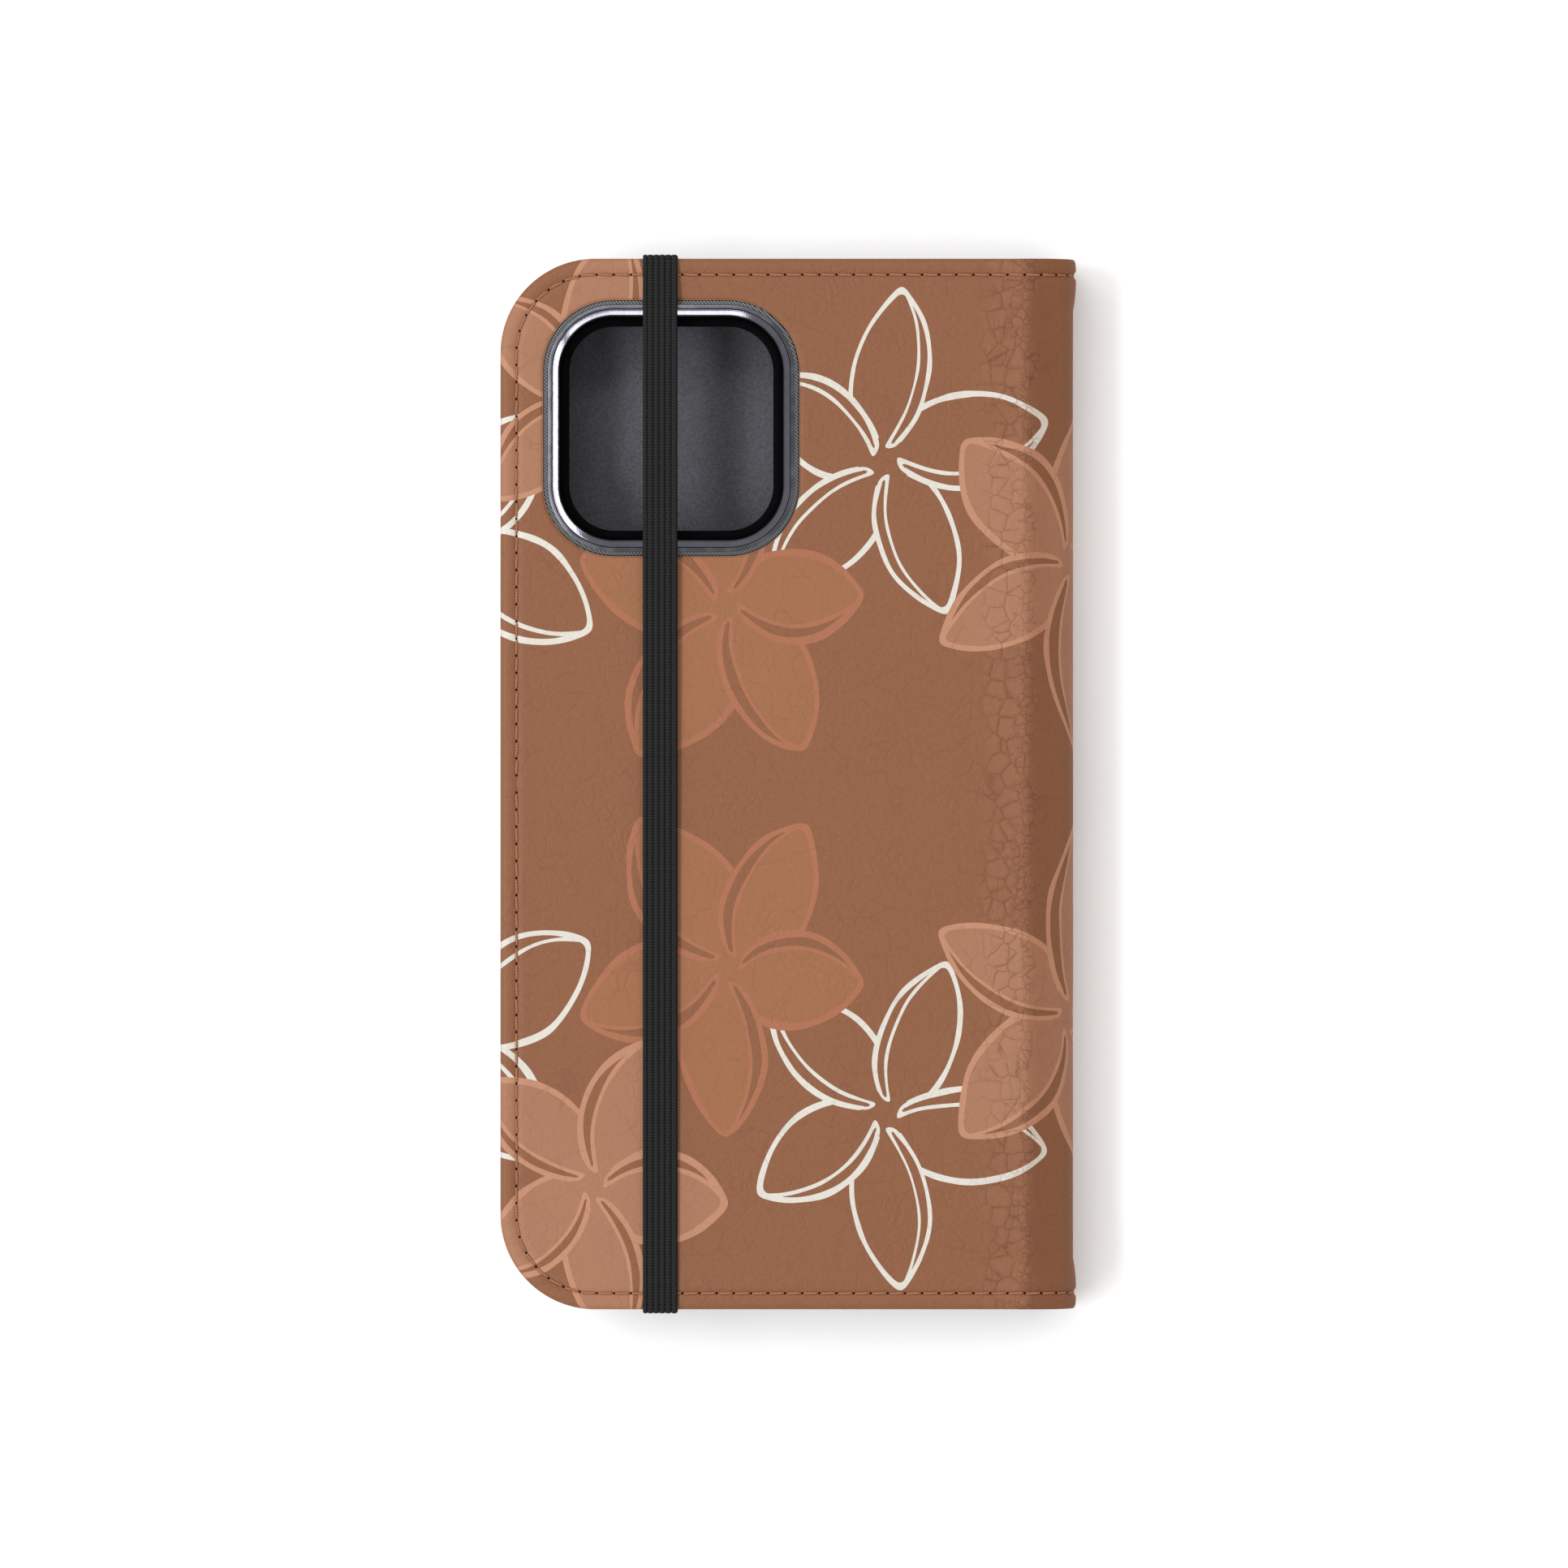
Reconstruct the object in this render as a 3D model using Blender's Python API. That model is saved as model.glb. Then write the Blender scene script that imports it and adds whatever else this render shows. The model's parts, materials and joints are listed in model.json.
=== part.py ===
"""Folio phone case: printed leather cover, moulded shell with a camera window, elastic band.

Constants and outlines are in millimetres; every mesh is built in metres.
The closed case lies on its front cover: +X points to the spine, +Y to the phone's top edge and
+Z out of the back panel. The front cover's outer face is z = 0.
"""

import math

import bmesh
import bpy
from mathutils import Matrix, Vector

MM = 0.001

# The phone that the case holds
PHONE_WIDTH = 71.5
PHONE_LENGTH = 146.7
PHONE_THICKNESS = 7.65
PHONE_CENTRE_X = -2.25
PHONE_CORNER_R = 10.0

# Outline of the closed case
HALF_X = 42.4
HALF_Y = 77.7
OPEN_CORNER_R = 14.0

# Thickness of each layer, and the gap that stands for its glue line
LEATHER = 0.8
BOARD = 0.8
LINING = 0.4
POCKET_LEAF = 0.35
ADHESIVE = 0.2
GLUE = 0.1
EDGE_TURN = 1.0
LINING_INSET = 0.6
ADHESIVE_INSET = 0.5

# Pockets inside the cover
POCKET_SIDE_INSET = 4.0
POCKET_END_INSET = 6.5
POCKET_RIGHT_X = 30.5
POCKET_CORNER_R = 2.0
CARD_POCKET_STEP = 1.5
CARD_POCKET_TOPS = (34.0, 18.0, 2.0)

# Moulded shell
PHONE_CLEARANCE = 0.1
DEPTH_CLEARANCE = 0.15
SHELL_WALL = 1.5
SHELL_FLOOR = 1.2
SHELL_LIP = 0.9
COVER_CLEARANCE = 0.3

# Camera window and its collar
WINDOW_X = -17.13
WINDOW_Y = 52.6
COLLAR_SIZE = 37.7
COLLAR_CORNER_R = 10.4
COLLAR_WALL = 2.35
COLLAR_CLEARANCE = 0.2
WINDOW_LEDGE = 1.4
BEZEL_RISE = 0.8
BEZEL_STEP = 0.25
BEZEL_EDGE = 0.15
BEZEL_GROOVE_AT = 1.4
BEZEL_GROOVE_HALF = 0.1
BEZEL_GROOVE_DEPTH = 0.12
BEZEL_CREST = (1.7, 2.1)

# Buttons and cut-outs in the shell's walls
BUTTON_HEIGHT = 2.8
BUTTON_PROUD = 0.8
BUTTON_CLEARANCE = 0.3
VOLUME_LENGTH = 11.4
VOLUME_UP_Y = 31.5
VOLUME_DOWN_Y = 17.0
SIDE_LENGTH = 17.0
SIDE_Y = 24.0
SWITCH_Y = 45.5
SWITCH_SIZE = (8.0, 4.6)
PORT_SIZE = (13.0, 6.2)
SPEAKER_SIZE = (11.0, 2.4)
SPEAKER_OFFSET = 18.5
HOLE_FLAT = 0.6
BUTTON_FLAT = 0.2

# Spine
SPINE_R = 7.0
CREASE_ANGLE = 45.0
CREASE_GAP = 1.4
BOARD_END_X = 34.0

# Seam
SEAM_INSET = 2.4
THREAD_R = 0.2
THREAD_DEPTH = 0.22
GROOVE_R = 0.36
GROOVE_DEPTH = 0.18
GROOVE_OVERRUN = 2.0
THREAD_END_GAP = 2.5

# Elastic band
BAND_X = -18.75
BAND_WIDTH = 5.16
BAND_THICKNESS = 0.5
BAND_STANDOFF = 0.1
BAND_END_DEPTH = 3.2
BAND_NOTCH_CLEARANCE = 0.3
BAND_BEND = 0.3

# Steps on round stretches
CORNER_STEPS = 8
SPINE_STEPS = 6
FAR = 30.0

# Levels of the stack, from the front cover's outer face upwards
FRONT_BOARD_Z = LEATHER + GLUE
FRONT_TURN_Z = FRONT_BOARD_Z + BOARD
FRONT_LINING_Z = FRONT_TURN_Z + GLUE
CASH_POCKET_Z = FRONT_LINING_Z + LINING + GLUE
CARD_POCKET_Z = CASH_POCKET_Z + POCKET_LEAF + GLUE
POCKET_PITCH = POCKET_LEAF + GLUE
SHELL_MOUTH_Z = CARD_POCKET_Z + 3 * POCKET_PITCH - GLUE + COVER_CLEARANCE
CAVITY_LOW = SHELL_MOUTH_Z + SHELL_LIP
CAVITY_HIGH = CAVITY_LOW + PHONE_THICKNESS + DEPTH_CLEARANCE
SHELL_TOP = CAVITY_HIGH + SHELL_FLOOR
ADHESIVE_Z = SHELL_TOP + GLUE
BACK_LINING_Z = ADHESIVE_Z + ADHESIVE + GLUE
BACK_TURN_Z = BACK_LINING_Z + LINING + GLUE
BACK_LEATHER_Z = BACK_TURN_Z + BOARD + GLUE
CASE_HEIGHT = BACK_LEATHER_Z + LEATHER
BEZEL_TOP = CASE_HEIGHT + BEZEL_RISE

# The spine's two bends turn about these centres, and the creases are where its joints lie
ARC_X = HALF_X - SPINE_R
LOWER_ARC_Z = SPINE_R
CREASE_X = ARC_X + SPINE_R * math.sin(math.radians(CREASE_ANGLE))
LOWER_CREASE_Z = SPINE_R * (1 - math.cos(math.radians(CREASE_ANGLE)))
UPPER_CREASE_Z = CASE_HEIGHT - LOWER_CREASE_Z

# Cavity walls
CAVITY_X0 = PHONE_CENTRE_X - PHONE_WIDTH / 2 - PHONE_CLEARANCE
CAVITY_X1 = PHONE_CENTRE_X + PHONE_WIDTH / 2 + PHONE_CLEARANCE
CAVITY_HALF_Y = PHONE_LENGTH / 2 + PHONE_CLEARANCE
BUTTON_Z = (CAVITY_LOW + CAVITY_HIGH) / 2


def clear_scene():
    for obj in list(bpy.data.objects):
        bpy.data.objects.remove(obj, do_unlink=True)


def material(name, colour, roughness, metallic=0.0):
    """A Principled material; colour is linear RGB."""
    mat = bpy.data.materials.new(name)
    mat.use_nodes = True
    shader = mat.node_tree.nodes["Principled BSDF"]
    shader.inputs["Base Color"].default_value = (*colour, 1.0)
    shader.inputs["Roughness"].default_value = roughness
    shader.inputs["Metallic"].default_value = metallic
    mat.diffuse_color = (*colour, 1.0)
    return mat


# Outlines

def arc(centre, radius, start, end, steps):
    """Points on a circle, from the start angle to the end angle in degrees."""
    points = []
    for i in range(steps + 1):
        angle = math.radians(start + (end - start) * i / steps)
        points.append((centre[0] + radius * math.cos(angle), centre[1] + radius * math.sin(angle)))
    return points


def rounded_box(x0, x1, y0, y1, left_r, right_r=None):
    """Counter-clockwise outline whose left and right corners have their own radii."""
    right_r = left_r if right_r is None else right_r
    corners = [
        (x1 - right_r, y0 + right_r, right_r, 270),
        (x1 - right_r, y1 - right_r, right_r, 0),
        (x0 + left_r, y1 - left_r, left_r, 90),
        (x0 + left_r, y0 + left_r, left_r, 180),
    ]
    points = []
    for x, y, radius, start in corners:
        if radius > 0:
            points += arc((x, y), radius, start, start + 90, CORNER_STEPS)
        else:
            points.append((x, y))
    return points


def case_outline(inset, x1):
    """Outline of a cover layer: round corners on the open side, square ones towards the spine."""
    return rounded_box(inset - HALF_X, x1, inset - HALF_Y, HALF_Y - inset, OPEN_CORNER_R - inset, 0)


def window_outline(margin):
    """The camera window's rounded square, grown by a margin."""
    half = COLLAR_SIZE / 2 + margin
    return rounded_box(WINDOW_X - half, WINDOW_X + half, WINDOW_Y - half, WINDOW_Y + half,
                       COLLAR_CORNER_R + margin)


def cavity_outline(margin):
    """The phone's rounded outline, grown by a margin."""
    return rounded_box(CAVITY_X0 - margin, CAVITY_X1 + margin, -CAVITY_HALF_Y - margin,
                       CAVITY_HALF_Y + margin, PHONE_CORNER_R + margin)


def spine_arc(depth, start, end):
    """XZ points round the lower bend at a depth under the outer face; 0 degrees is straight down."""
    return arc((ARC_X, LOWER_ARC_Z), SPINE_R - depth, start - 90, end - 90, SPINE_STEPS)


def mirrored(points):
    """XZ points of the front cover turned into those of the back panel."""
    return [(x, CASE_HEIGHT - z) for x, z in points]


def offset_path(path, distance):
    """The path moved to its left by a distance, with mitred corners."""
    moved = []
    for i, point in enumerate(path):
        before = Vector(path[max(i - 1, 0)])
        after = Vector(path[min(i + 1, len(path) - 1)])
        here = Vector(point)
        into = (here - before).normalized() if i > 0 else (after - here).normalized()
        out = (after - here).normalized() if i < len(path) - 1 else into
        normal = Vector((-into.y - out.y, into.x + out.x)).normalized()
        stretch = distance / max(normal.dot(Vector((-into.y, into.x))), 0.2)
        moved.append(tuple(here + normal * stretch))
    return moved


# Solids

def new_object(name, bm, mat=None):
    bmesh.ops.recalc_face_normals(bm, faces=bm.faces)
    mesh = bpy.data.meshes.new(name)
    bm.to_mesh(mesh)
    bm.free()
    if mat:
        mesh.materials.append(mat)
    obj = bpy.data.objects.new(name, mesh)
    bpy.context.scene.collection.objects.link(obj)
    return obj


def extrusion(name, outline, low, high, mat=None, plane="XY"):
    """A closed outline in one plane, carried along the third axis from low to high."""
    to_space = {
        "XY": lambda a, b, run: (a, b, run),
        "XZ": lambda a, b, run: (a, run, b),
        "YZ": lambda a, b, run: (run, a, b),
    }[plane]
    bm = bmesh.new()
    rings = []
    for run in (low, high):
        rings.append([bm.verts.new(Vector(to_space(a, b, run)) * MM) for a, b in outline])
    count = len(outline)
    for i in range(count):
        j = (i + 1) % count
        bm.faces.new((rings[0][i], rings[0][j], rings[1][j], rings[1][i]))
    bm.faces.new(rings[0])
    bm.faces.new(rings[1])
    return new_object(name, bm, mat)


def ring(name, profile, outline_at, mat):
    """A closed (inset, z) profile swept round the rounded outlines that outline_at gives."""
    bm = bmesh.new()
    loops = []
    for inset, z in profile:
        loops.append([bm.verts.new((x * MM, y * MM, z * MM)) for x, y in outline_at(-inset)])
    for k, loop in enumerate(loops):
        above = loops[(k + 1) % len(loops)]
        for i in range(len(loop)):
            j = (i + 1) % len(loop)
            bm.faces.new((loop[i], loop[j], above[j], above[i]))
    return new_object(name, bm, mat)


def tube(name, path, radius, mat=None, sides=6):
    """A round bar along a 3-D path, with flat ends and a frame that doesn't twist."""
    points = [Vector(p) for p in path]
    tangents = []
    for i in range(len(points)):
        ahead = points[min(i + 1, len(points) - 1)] - points[max(i - 1, 0)]
        tangents.append(ahead.normalized())
    side = tangents[0].orthogonal().normalized()
    bm = bmesh.new()
    rings = []
    for point, tangent in zip(points, tangents):
        side = (side - tangent * side.dot(tangent)).normalized()
        other = tangent.cross(side)
        loop = []
        for k in range(sides):
            angle = math.tau * k / sides
            offset = side * math.cos(angle) + other * math.sin(angle)
            loop.append(bm.verts.new((point + offset * radius) * MM))
        rings.append(loop)
    for first, second in zip(rings, rings[1:]):
        for i in range(sides):
            j = (i + 1) % sides
            bm.faces.new((first[i], first[j], second[j], second[i]))
    bm.faces.new(rings[0])
    bm.faces.new(rings[-1])
    return new_object(name, bm, mat)


def boolean(target, tool, operation="DIFFERENCE"):
    modifier = target.modifiers.new(tool.name, "BOOLEAN")
    modifier.operation = operation
    modifier.solver = "EXACT"
    modifier.object = tool
    tool.hide_render = True
    tool.display_type = "WIRE"


def axis_empty(name, origin, parent=None):
    """An empty on a joint's axis; it carries the pieces that the joint moves."""
    empty = bpy.data.objects.new(name, None)
    bpy.context.scene.collection.objects.link(empty)
    empty.parent = parent
    base = Vector(parent["origin_mm"]) if parent else Vector()
    empty["origin_mm"] = tuple(origin)
    empty.location = (Vector(origin) - base) * MM
    return empty


def carry(obj, empty):
    """Give a piece the empty's origin and parent it there, without moving it."""
    obj.data.transform(Matrix.Translation(-Vector(empty["origin_mm"]) * MM))
    obj.parent = empty


# Cover layers

def cover_leather(name, flip, mat):
    """One panel's leather: a sheet turned up round its board, then half of the spine's bend."""
    end = CREASE_ANGLE - CREASE_GAP
    outer = [(-HALF_X - FAR, 0.0)] + spine_arc(0, 0, end)
    inner = spine_arc(LEATHER, end, 0) + [(BOARD_END_X, LEATHER), (BOARD_END_X, FRONT_TURN_Z),
                                          (-HALF_X - FAR, FRONT_TURN_Z)]
    outline = outer + inner
    panel = extrusion(name, mirrored(outline) if flip else outline, -HALF_Y - FAR, HALF_Y + FAR,
                      mat, plane="XZ")
    trim = extrusion(name + "_trim", case_outline(0, HALF_X + FAR), -FAR, CASE_HEIGHT + FAR)
    boolean(panel, trim, "INTERSECT")
    low, high = (BACK_TURN_Z - FAR, BACK_LEATHER_Z) if flip else (LEATHER, FRONT_TURN_Z + FAR)
    recess = extrusion(name + "_recess", case_outline(EDGE_TURN, BOARD_END_X + GLUE), low, high)
    boolean(panel, recess)
    return panel


def cover_board(name, low, mat):
    outline = case_outline(EDGE_TURN + GLUE, BOARD_END_X - GLUE)
    return extrusion(name, outline, low, low + BOARD, mat)


def cover_lining(name, flip, mat):
    """A lining sheet that steps off the board's end and follows the leather round the bend."""
    step = 8
    end = CREASE_ANGLE - CREASE_GAP
    depth = LEATHER + GLUE
    path = [(-HALF_X - FAR, FRONT_LINING_Z), (BOARD_END_X + GLUE, FRONT_LINING_Z)]
    path += spine_arc(depth, step, end)
    outline = path + offset_path(path, LINING)[::-1]
    lining = extrusion(name, mirrored(outline) if flip else outline, -HALF_Y - FAR, HALF_Y + FAR,
                       mat, plane="XZ")
    trim = extrusion(name + "_trim", case_outline(LINING_INSET, HALF_X + FAR), -FAR,
                     CASE_HEIGHT + FAR)
    boolean(lining, trim, "INTERSECT")
    return lining


def pocket_leaf(name, low, x0, x1, y0, y1, mat):
    return extrusion(name, rounded_box(x0, x1, y0, y1, POCKET_CORNER_R), low, low + POCKET_LEAF, mat)


def seam_path(flip, depth, end):
    """The seam's route from the crease at the top, round the open side, to the crease below."""
    edge_y = HALF_Y - SEAM_INSET
    radius = OPEN_CORNER_R - SEAM_INSET
    centre = (OPEN_CORNER_R - HALF_X, HALF_Y - OPEN_CORNER_R)
    bend = [(x, edge_y, z) for x, z in spine_arc(depth, end, 0)]
    corner = [(x, y, depth) for x, y in arc(centre, radius, 90, 180, CORNER_STEPS)]
    half = bend + corner
    path = half + [(x, -y, z) for x, y, z in reversed(half)]
    return [(x, y, CASE_HEIGHT - z) for x, y, z in path] if flip else path


def spine_seam_path(side, depth, end):
    """The seam's route round one end of the spine."""
    edge_y = side * (HALF_Y - SEAM_INSET)
    lower = spine_arc(depth, end, 90)
    section = lower + mirrored(lower)[::-1]
    return [(x, edge_y, z) for x, z in section]


def build_front_cover(leather, board, lining, thread):
    front = cover_leather("front_leather", False, leather)
    groove_route = seam_path(False, GROOVE_DEPTH, CREASE_ANGLE + GROOVE_OVERRUN)
    boolean(front, tube("front_groove", groove_route, GROOVE_R))
    thread_route = seam_path(False, THREAD_DEPTH, CREASE_ANGLE - THREAD_END_GAP)
    tube("front_seam_thread", thread_route, THREAD_R, thread)
    stiffener = cover_board("front_board", FRONT_BOARD_Z, board)
    cover_lining("front_lining", False, lining)
    for side in (1, -1):
        low_y, high_y = sorted((side * (HALF_Y - BAND_END_DEPTH - GLUE), side * (HALF_Y + 1)))
        half = BAND_WIDTH / 2 + BAND_NOTCH_CLEARANCE
        notch = extrusion(f"band_notch_{side}",
                          rounded_box(BAND_X - half, BAND_X + half, low_y, high_y, 0),
                          FRONT_BOARD_Z, FRONT_TURN_Z + GLUE)
        boolean(front, notch)
        boolean(stiffener, notch)


def build_pockets(lining):
    left = POCKET_SIDE_INSET - HALF_X
    foot = POCKET_END_INSET - HALF_Y
    pocket_leaf("cash_pocket", CASH_POCKET_Z, left, POCKET_RIGHT_X, foot, -foot, lining)
    for number, top in enumerate(CARD_POCKET_TOPS):
        pocket_leaf(f"card_pocket_{number + 1}", CARD_POCKET_Z + number * POCKET_PITCH,
                    left, POCKET_RIGHT_X - CARD_POCKET_STEP, foot, top, lining)


def build_spine(leather, lining, thread, axis):
    end = CREASE_ANGLE + CREASE_GAP
    outer = spine_arc(0, end, 90)
    inner = spine_arc(LEATHER, end, 90)
    outline = outer + mirrored(outer)[::-1] + mirrored(inner) + inner[::-1]
    skin = extrusion("spine_leather", outline, -HALF_Y, HALF_Y, leather, plane="XZ")
    lower = spine_arc(LEATHER + GLUE, end, 90)
    path = lower + mirrored(lower)[::-1]
    strip = extrusion("spine_lining", path + offset_path(path, LINING)[::-1],
                      LINING_INSET - HALF_Y, HALF_Y - LINING_INSET, lining, plane="XZ")
    pieces = [skin, strip]
    for side, word in ((1, "upper"), (-1, "lower")):
        groove_route = spine_seam_path(side, GROOVE_DEPTH, CREASE_ANGLE - GROOVE_OVERRUN)
        groove = tube(f"spine_groove_{word}", groove_route, GROOVE_R)
        boolean(skin, groove)
        carry(groove, axis)
        thread_route = spine_seam_path(side, THREAD_DEPTH, CREASE_ANGLE + THREAD_END_GAP)
        pieces.append(tube(f"spine_thread_{word}", thread_route, THREAD_R, thread))
    for piece in pieces:
        carry(piece, axis)


def build_back_panel(leather, board, lining, adhesive, thread):
    back = cover_leather("back_leather", True, leather)
    groove_route = seam_path(True, GROOVE_DEPTH, CREASE_ANGLE + GROOVE_OVERRUN)
    boolean(back, tube("back_groove", groove_route, GROOVE_R))
    thread_route = seam_path(True, THREAD_DEPTH, CREASE_ANGLE - THREAD_END_GAP)
    seam = tube("back_seam_thread", thread_route, THREAD_R, thread)
    window = extrusion("window_cut", window_outline(COLLAR_CLEARANCE), CAVITY_HIGH,
                       CASE_HEIGHT + FAR)
    stiffener = cover_board("back_board", BACK_TURN_Z, board)
    backing = cover_lining("back_lining", True, lining)
    sheet = extrusion("shell_adhesive", cavity_outline(-ADHESIVE_INSET),
                      ADHESIVE_Z, ADHESIVE_Z + ADHESIVE, adhesive)
    for piece in (back, stiffener, backing, sheet):
        boolean(piece, window)
    return [back, stiffener, backing, sheet, seam]


# Shell, bezel and buttons

def wall_cut(shell, name, centre, size, plane, low, high):
    """A round-cornered hole through a wall of the shell."""
    a, b = centre
    width, height = size
    corner = (min(width, height) - HOLE_FLAT) / 2
    outline = rounded_box(a - width / 2, a + width / 2, b - height / 2, b + height / 2, corner)
    boolean(shell, extrusion(name, outline, low, high, plane=plane))


def build_shell(plastic):
    shell = extrusion("phone_shell", cavity_outline(SHELL_WALL), SHELL_MOUTH_Z, SHELL_TOP, plastic)
    boolean(shell, extrusion("collar", window_outline(0), SHELL_TOP - SHELL_FLOOR / 2,
                             CASE_HEIGHT - LEATHER / 2 - GLUE), "UNION")
    boolean(shell, extrusion("cavity", cavity_outline(0), CAVITY_LOW, CAVITY_HIGH))
    boolean(shell, extrusion("mouth", cavity_outline(-SHELL_LIP), SHELL_MOUTH_Z - 1,
                             CAVITY_LOW + SHELL_LIP))
    boolean(shell, extrusion("window", window_outline(-COLLAR_WALL), SHELL_TOP, CASE_HEIGHT + 1))
    boolean(shell, extrusion("window_ledge", window_outline(-COLLAR_WALL - WINDOW_LEDGE),
                             CAVITY_HIGH - 1, CASE_HEIGHT + 1))
    left = (CAVITY_X0 - SHELL_WALL - 1, CAVITY_X0 + 1)
    right = (CAVITY_X1 - 1, CAVITY_X1 + SHELL_WALL + 1)
    foot = (-CAVITY_HALF_Y - SHELL_WALL - 1, 1 - CAVITY_HALF_Y)
    hole = BUTTON_HEIGHT + 2 * BUTTON_CLEARANCE
    for name, y, length, span in (("volume_up_hole", VOLUME_UP_Y, VOLUME_LENGTH, right),
                                  ("volume_down_hole", VOLUME_DOWN_Y, VOLUME_LENGTH, right),
                                  ("side_hole", SIDE_Y, SIDE_LENGTH, left)):
        size = (length + 2 * BUTTON_CLEARANCE, hole)
        wall_cut(shell, name, (y, BUTTON_Z), size, "YZ", *span)
    wall_cut(shell, "switch_hole", (SWITCH_Y, BUTTON_Z), SWITCH_SIZE, "YZ", *right)
    wall_cut(shell, "port_hole", (PHONE_CENTRE_X, BUTTON_Z), PORT_SIZE, "XZ", *foot)
    for side in (-1, 1):
        centre = (PHONE_CENTRE_X + side * SPEAKER_OFFSET, BUTTON_Z)
        wall_cut(shell, f"speaker_hole_{side}", centre, SPEAKER_SIZE, "XZ", *foot)
    return shell


def build_bezel(metal):
    """The collar's trim: a flat ring, a fine groove and a raised polished edge round the opening."""
    seat = CASE_HEIGHT - LEATHER / 2
    rim = BEZEL_TOP - BEZEL_STEP
    profile = [(0.0, seat), (0.0, rim - BEZEL_EDGE), (BEZEL_EDGE, rim),
               (BEZEL_GROOVE_AT - BEZEL_GROOVE_HALF, rim),
               (BEZEL_GROOVE_AT, rim - BEZEL_GROOVE_DEPTH),
               (BEZEL_GROOVE_AT + BEZEL_GROOVE_HALF, rim),
               (BEZEL_CREST[0], BEZEL_TOP), (BEZEL_CREST[1], BEZEL_TOP), (COLLAR_WALL, rim),
               (COLLAR_WALL, seat)]
    return ring("camera_bezel", profile, window_outline, metal)


def build_button(name, y, length, side, mat, parent):
    """A cap that reaches through its hole; its origin is on the slide's axis, at the outer face."""
    inner = CAVITY_X1 + PHONE_CLEARANCE if side > 0 else CAVITY_X0 - PHONE_CLEARANCE
    outer = inner + side * (SHELL_WALL - PHONE_CLEARANCE + BUTTON_PROUD)
    corner = (BUTTON_HEIGHT - BUTTON_FLAT) / 2
    outline = rounded_box(y - length / 2, y + length / 2, BUTTON_Z - BUTTON_HEIGHT / 2,
                          BUTTON_Z + BUTTON_HEIGHT / 2, corner)
    cap = extrusion(name, outline, *sorted((inner, outer)), mat, plane="YZ")
    axis = axis_empty(name + "_axis", (outer, y, BUTTON_Z), parent)
    carry(cap, axis)


# Elastic band

def build_band(elastic, axis):
    """The loop runs taut over the back panel and the bezel, and its sewn ends enter the cover."""
    near = HALF_Y + BAND_STANDOFF
    arm_foot = FRONT_LINING_Z + LINING + GLUE
    over_edge = CASE_HEIGHT + 2 * BAND_STANDOFF
    over_bezel = BEZEL_TOP + BAND_STANDOFF
    bezel_high = WINDOW_Y + COLLAR_SIZE / 2
    bezel_low = WINDOW_Y - COLLAR_SIZE / 2
    inner = [(near, arm_foot), (near, over_edge - BAND_BEND), (near - BAND_BEND, over_edge),
             (bezel_high, over_bezel), (bezel_low, over_bezel),
             (BAND_BEND - near, over_edge), (-near, over_edge - BAND_BEND), (-near, arm_foot)]
    outline = inner + offset_path(inner, -BAND_THICKNESS)[::-1]
    loop = extrusion("elastic_band", outline, BAND_X - BAND_WIDTH / 2, BAND_X + BAND_WIDTH / 2,
                     elastic, plane="YZ")
    carry(loop, axis)
    low = FRONT_BOARD_Z + GLUE
    for side, word in ((1, "upper"), (-1, "lower")):
        path = [(side * (HALF_Y - BAND_END_DEPTH), low), (side * (near + BAND_THICKNESS), low),
                (side * (near + BAND_THICKNESS), arm_foot - GLUE), (side * near, arm_foot - GLUE),
                (side * near, low + BAND_THICKNESS),
                (side * (HALF_Y - BAND_END_DEPTH), low + BAND_THICKNESS)]
        extrusion(f"band_end_{word}", path, BAND_X - BAND_WIDTH / 2, BAND_X + BAND_WIDTH / 2,
                  elastic, plane="YZ")


def main():
    clear_scene()
    leather = material("leather_printed", (0.327, 0.147, 0.089), 0.55)
    lining = material("lining_suedette", (0.07, 0.07, 0.08), 0.85)
    board = material("stiffener_board", (0.42, 0.36, 0.28), 0.9)
    adhesive = material("adhesive_sheet", (0.75, 0.75, 0.72), 0.6)
    thread = material("thread_tan", (0.48, 0.29, 0.18), 0.7)
    plastic = material("shell_polymer", (0.012, 0.012, 0.013), 0.45)
    metal = material("bezel_metal", (0.30, 0.29, 0.31), 0.3, metallic=1.0)
    elastic = material("band_elastic", (0.018, 0.018, 0.018), 0.8)

    cover_axis = axis_empty("cover_fold_axis", (CREASE_X, 0, LOWER_CREASE_Z))
    spine_axis = axis_empty("spine_fold_axis", (CREASE_X, 0, UPPER_CREASE_Z), cover_axis)
    band_axis = axis_empty("band_slack_axis", (BAND_X, 0, BEZEL_TOP))

    build_front_cover(leather, board, lining, thread)
    build_pockets(lining)
    build_spine(leather, lining, thread, cover_axis)
    pieces = build_back_panel(leather, board, lining, adhesive, thread)
    pieces += [build_shell(plastic), build_bezel(metal)]
    for piece in pieces:
        carry(piece, spine_axis)
        for modifier in piece.modifiers:
            if not modifier.object.parent:
                carry(modifier.object, spine_axis)
    build_button("volume_up_button", VOLUME_UP_Y, VOLUME_LENGTH, 1, plastic, spine_axis)
    build_button("volume_down_button", VOLUME_DOWN_Y, VOLUME_LENGTH, 1, plastic, spine_axis)
    build_button("side_button", SIDE_Y, SIDE_LENGTH, -1, plastic, spine_axis)
    build_band(elastic, band_axis)


main()
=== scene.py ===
"""Looks of the folio phone case: printed leather, stitched seams, ribbed elastic, moulded shell.

Lengths here are in millimetres, in the frame's own axes; meshes are built in metres.
The leather and the linings are drawn in unrolled skin coordinates: u runs from the open side
across the panel and round the spine (u = 0 where the spine's bend starts), and v runs along +Y.
"""

import json
import math

import bmesh
import bpy
import numpy as np
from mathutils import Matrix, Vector, geometry, noise


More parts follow.
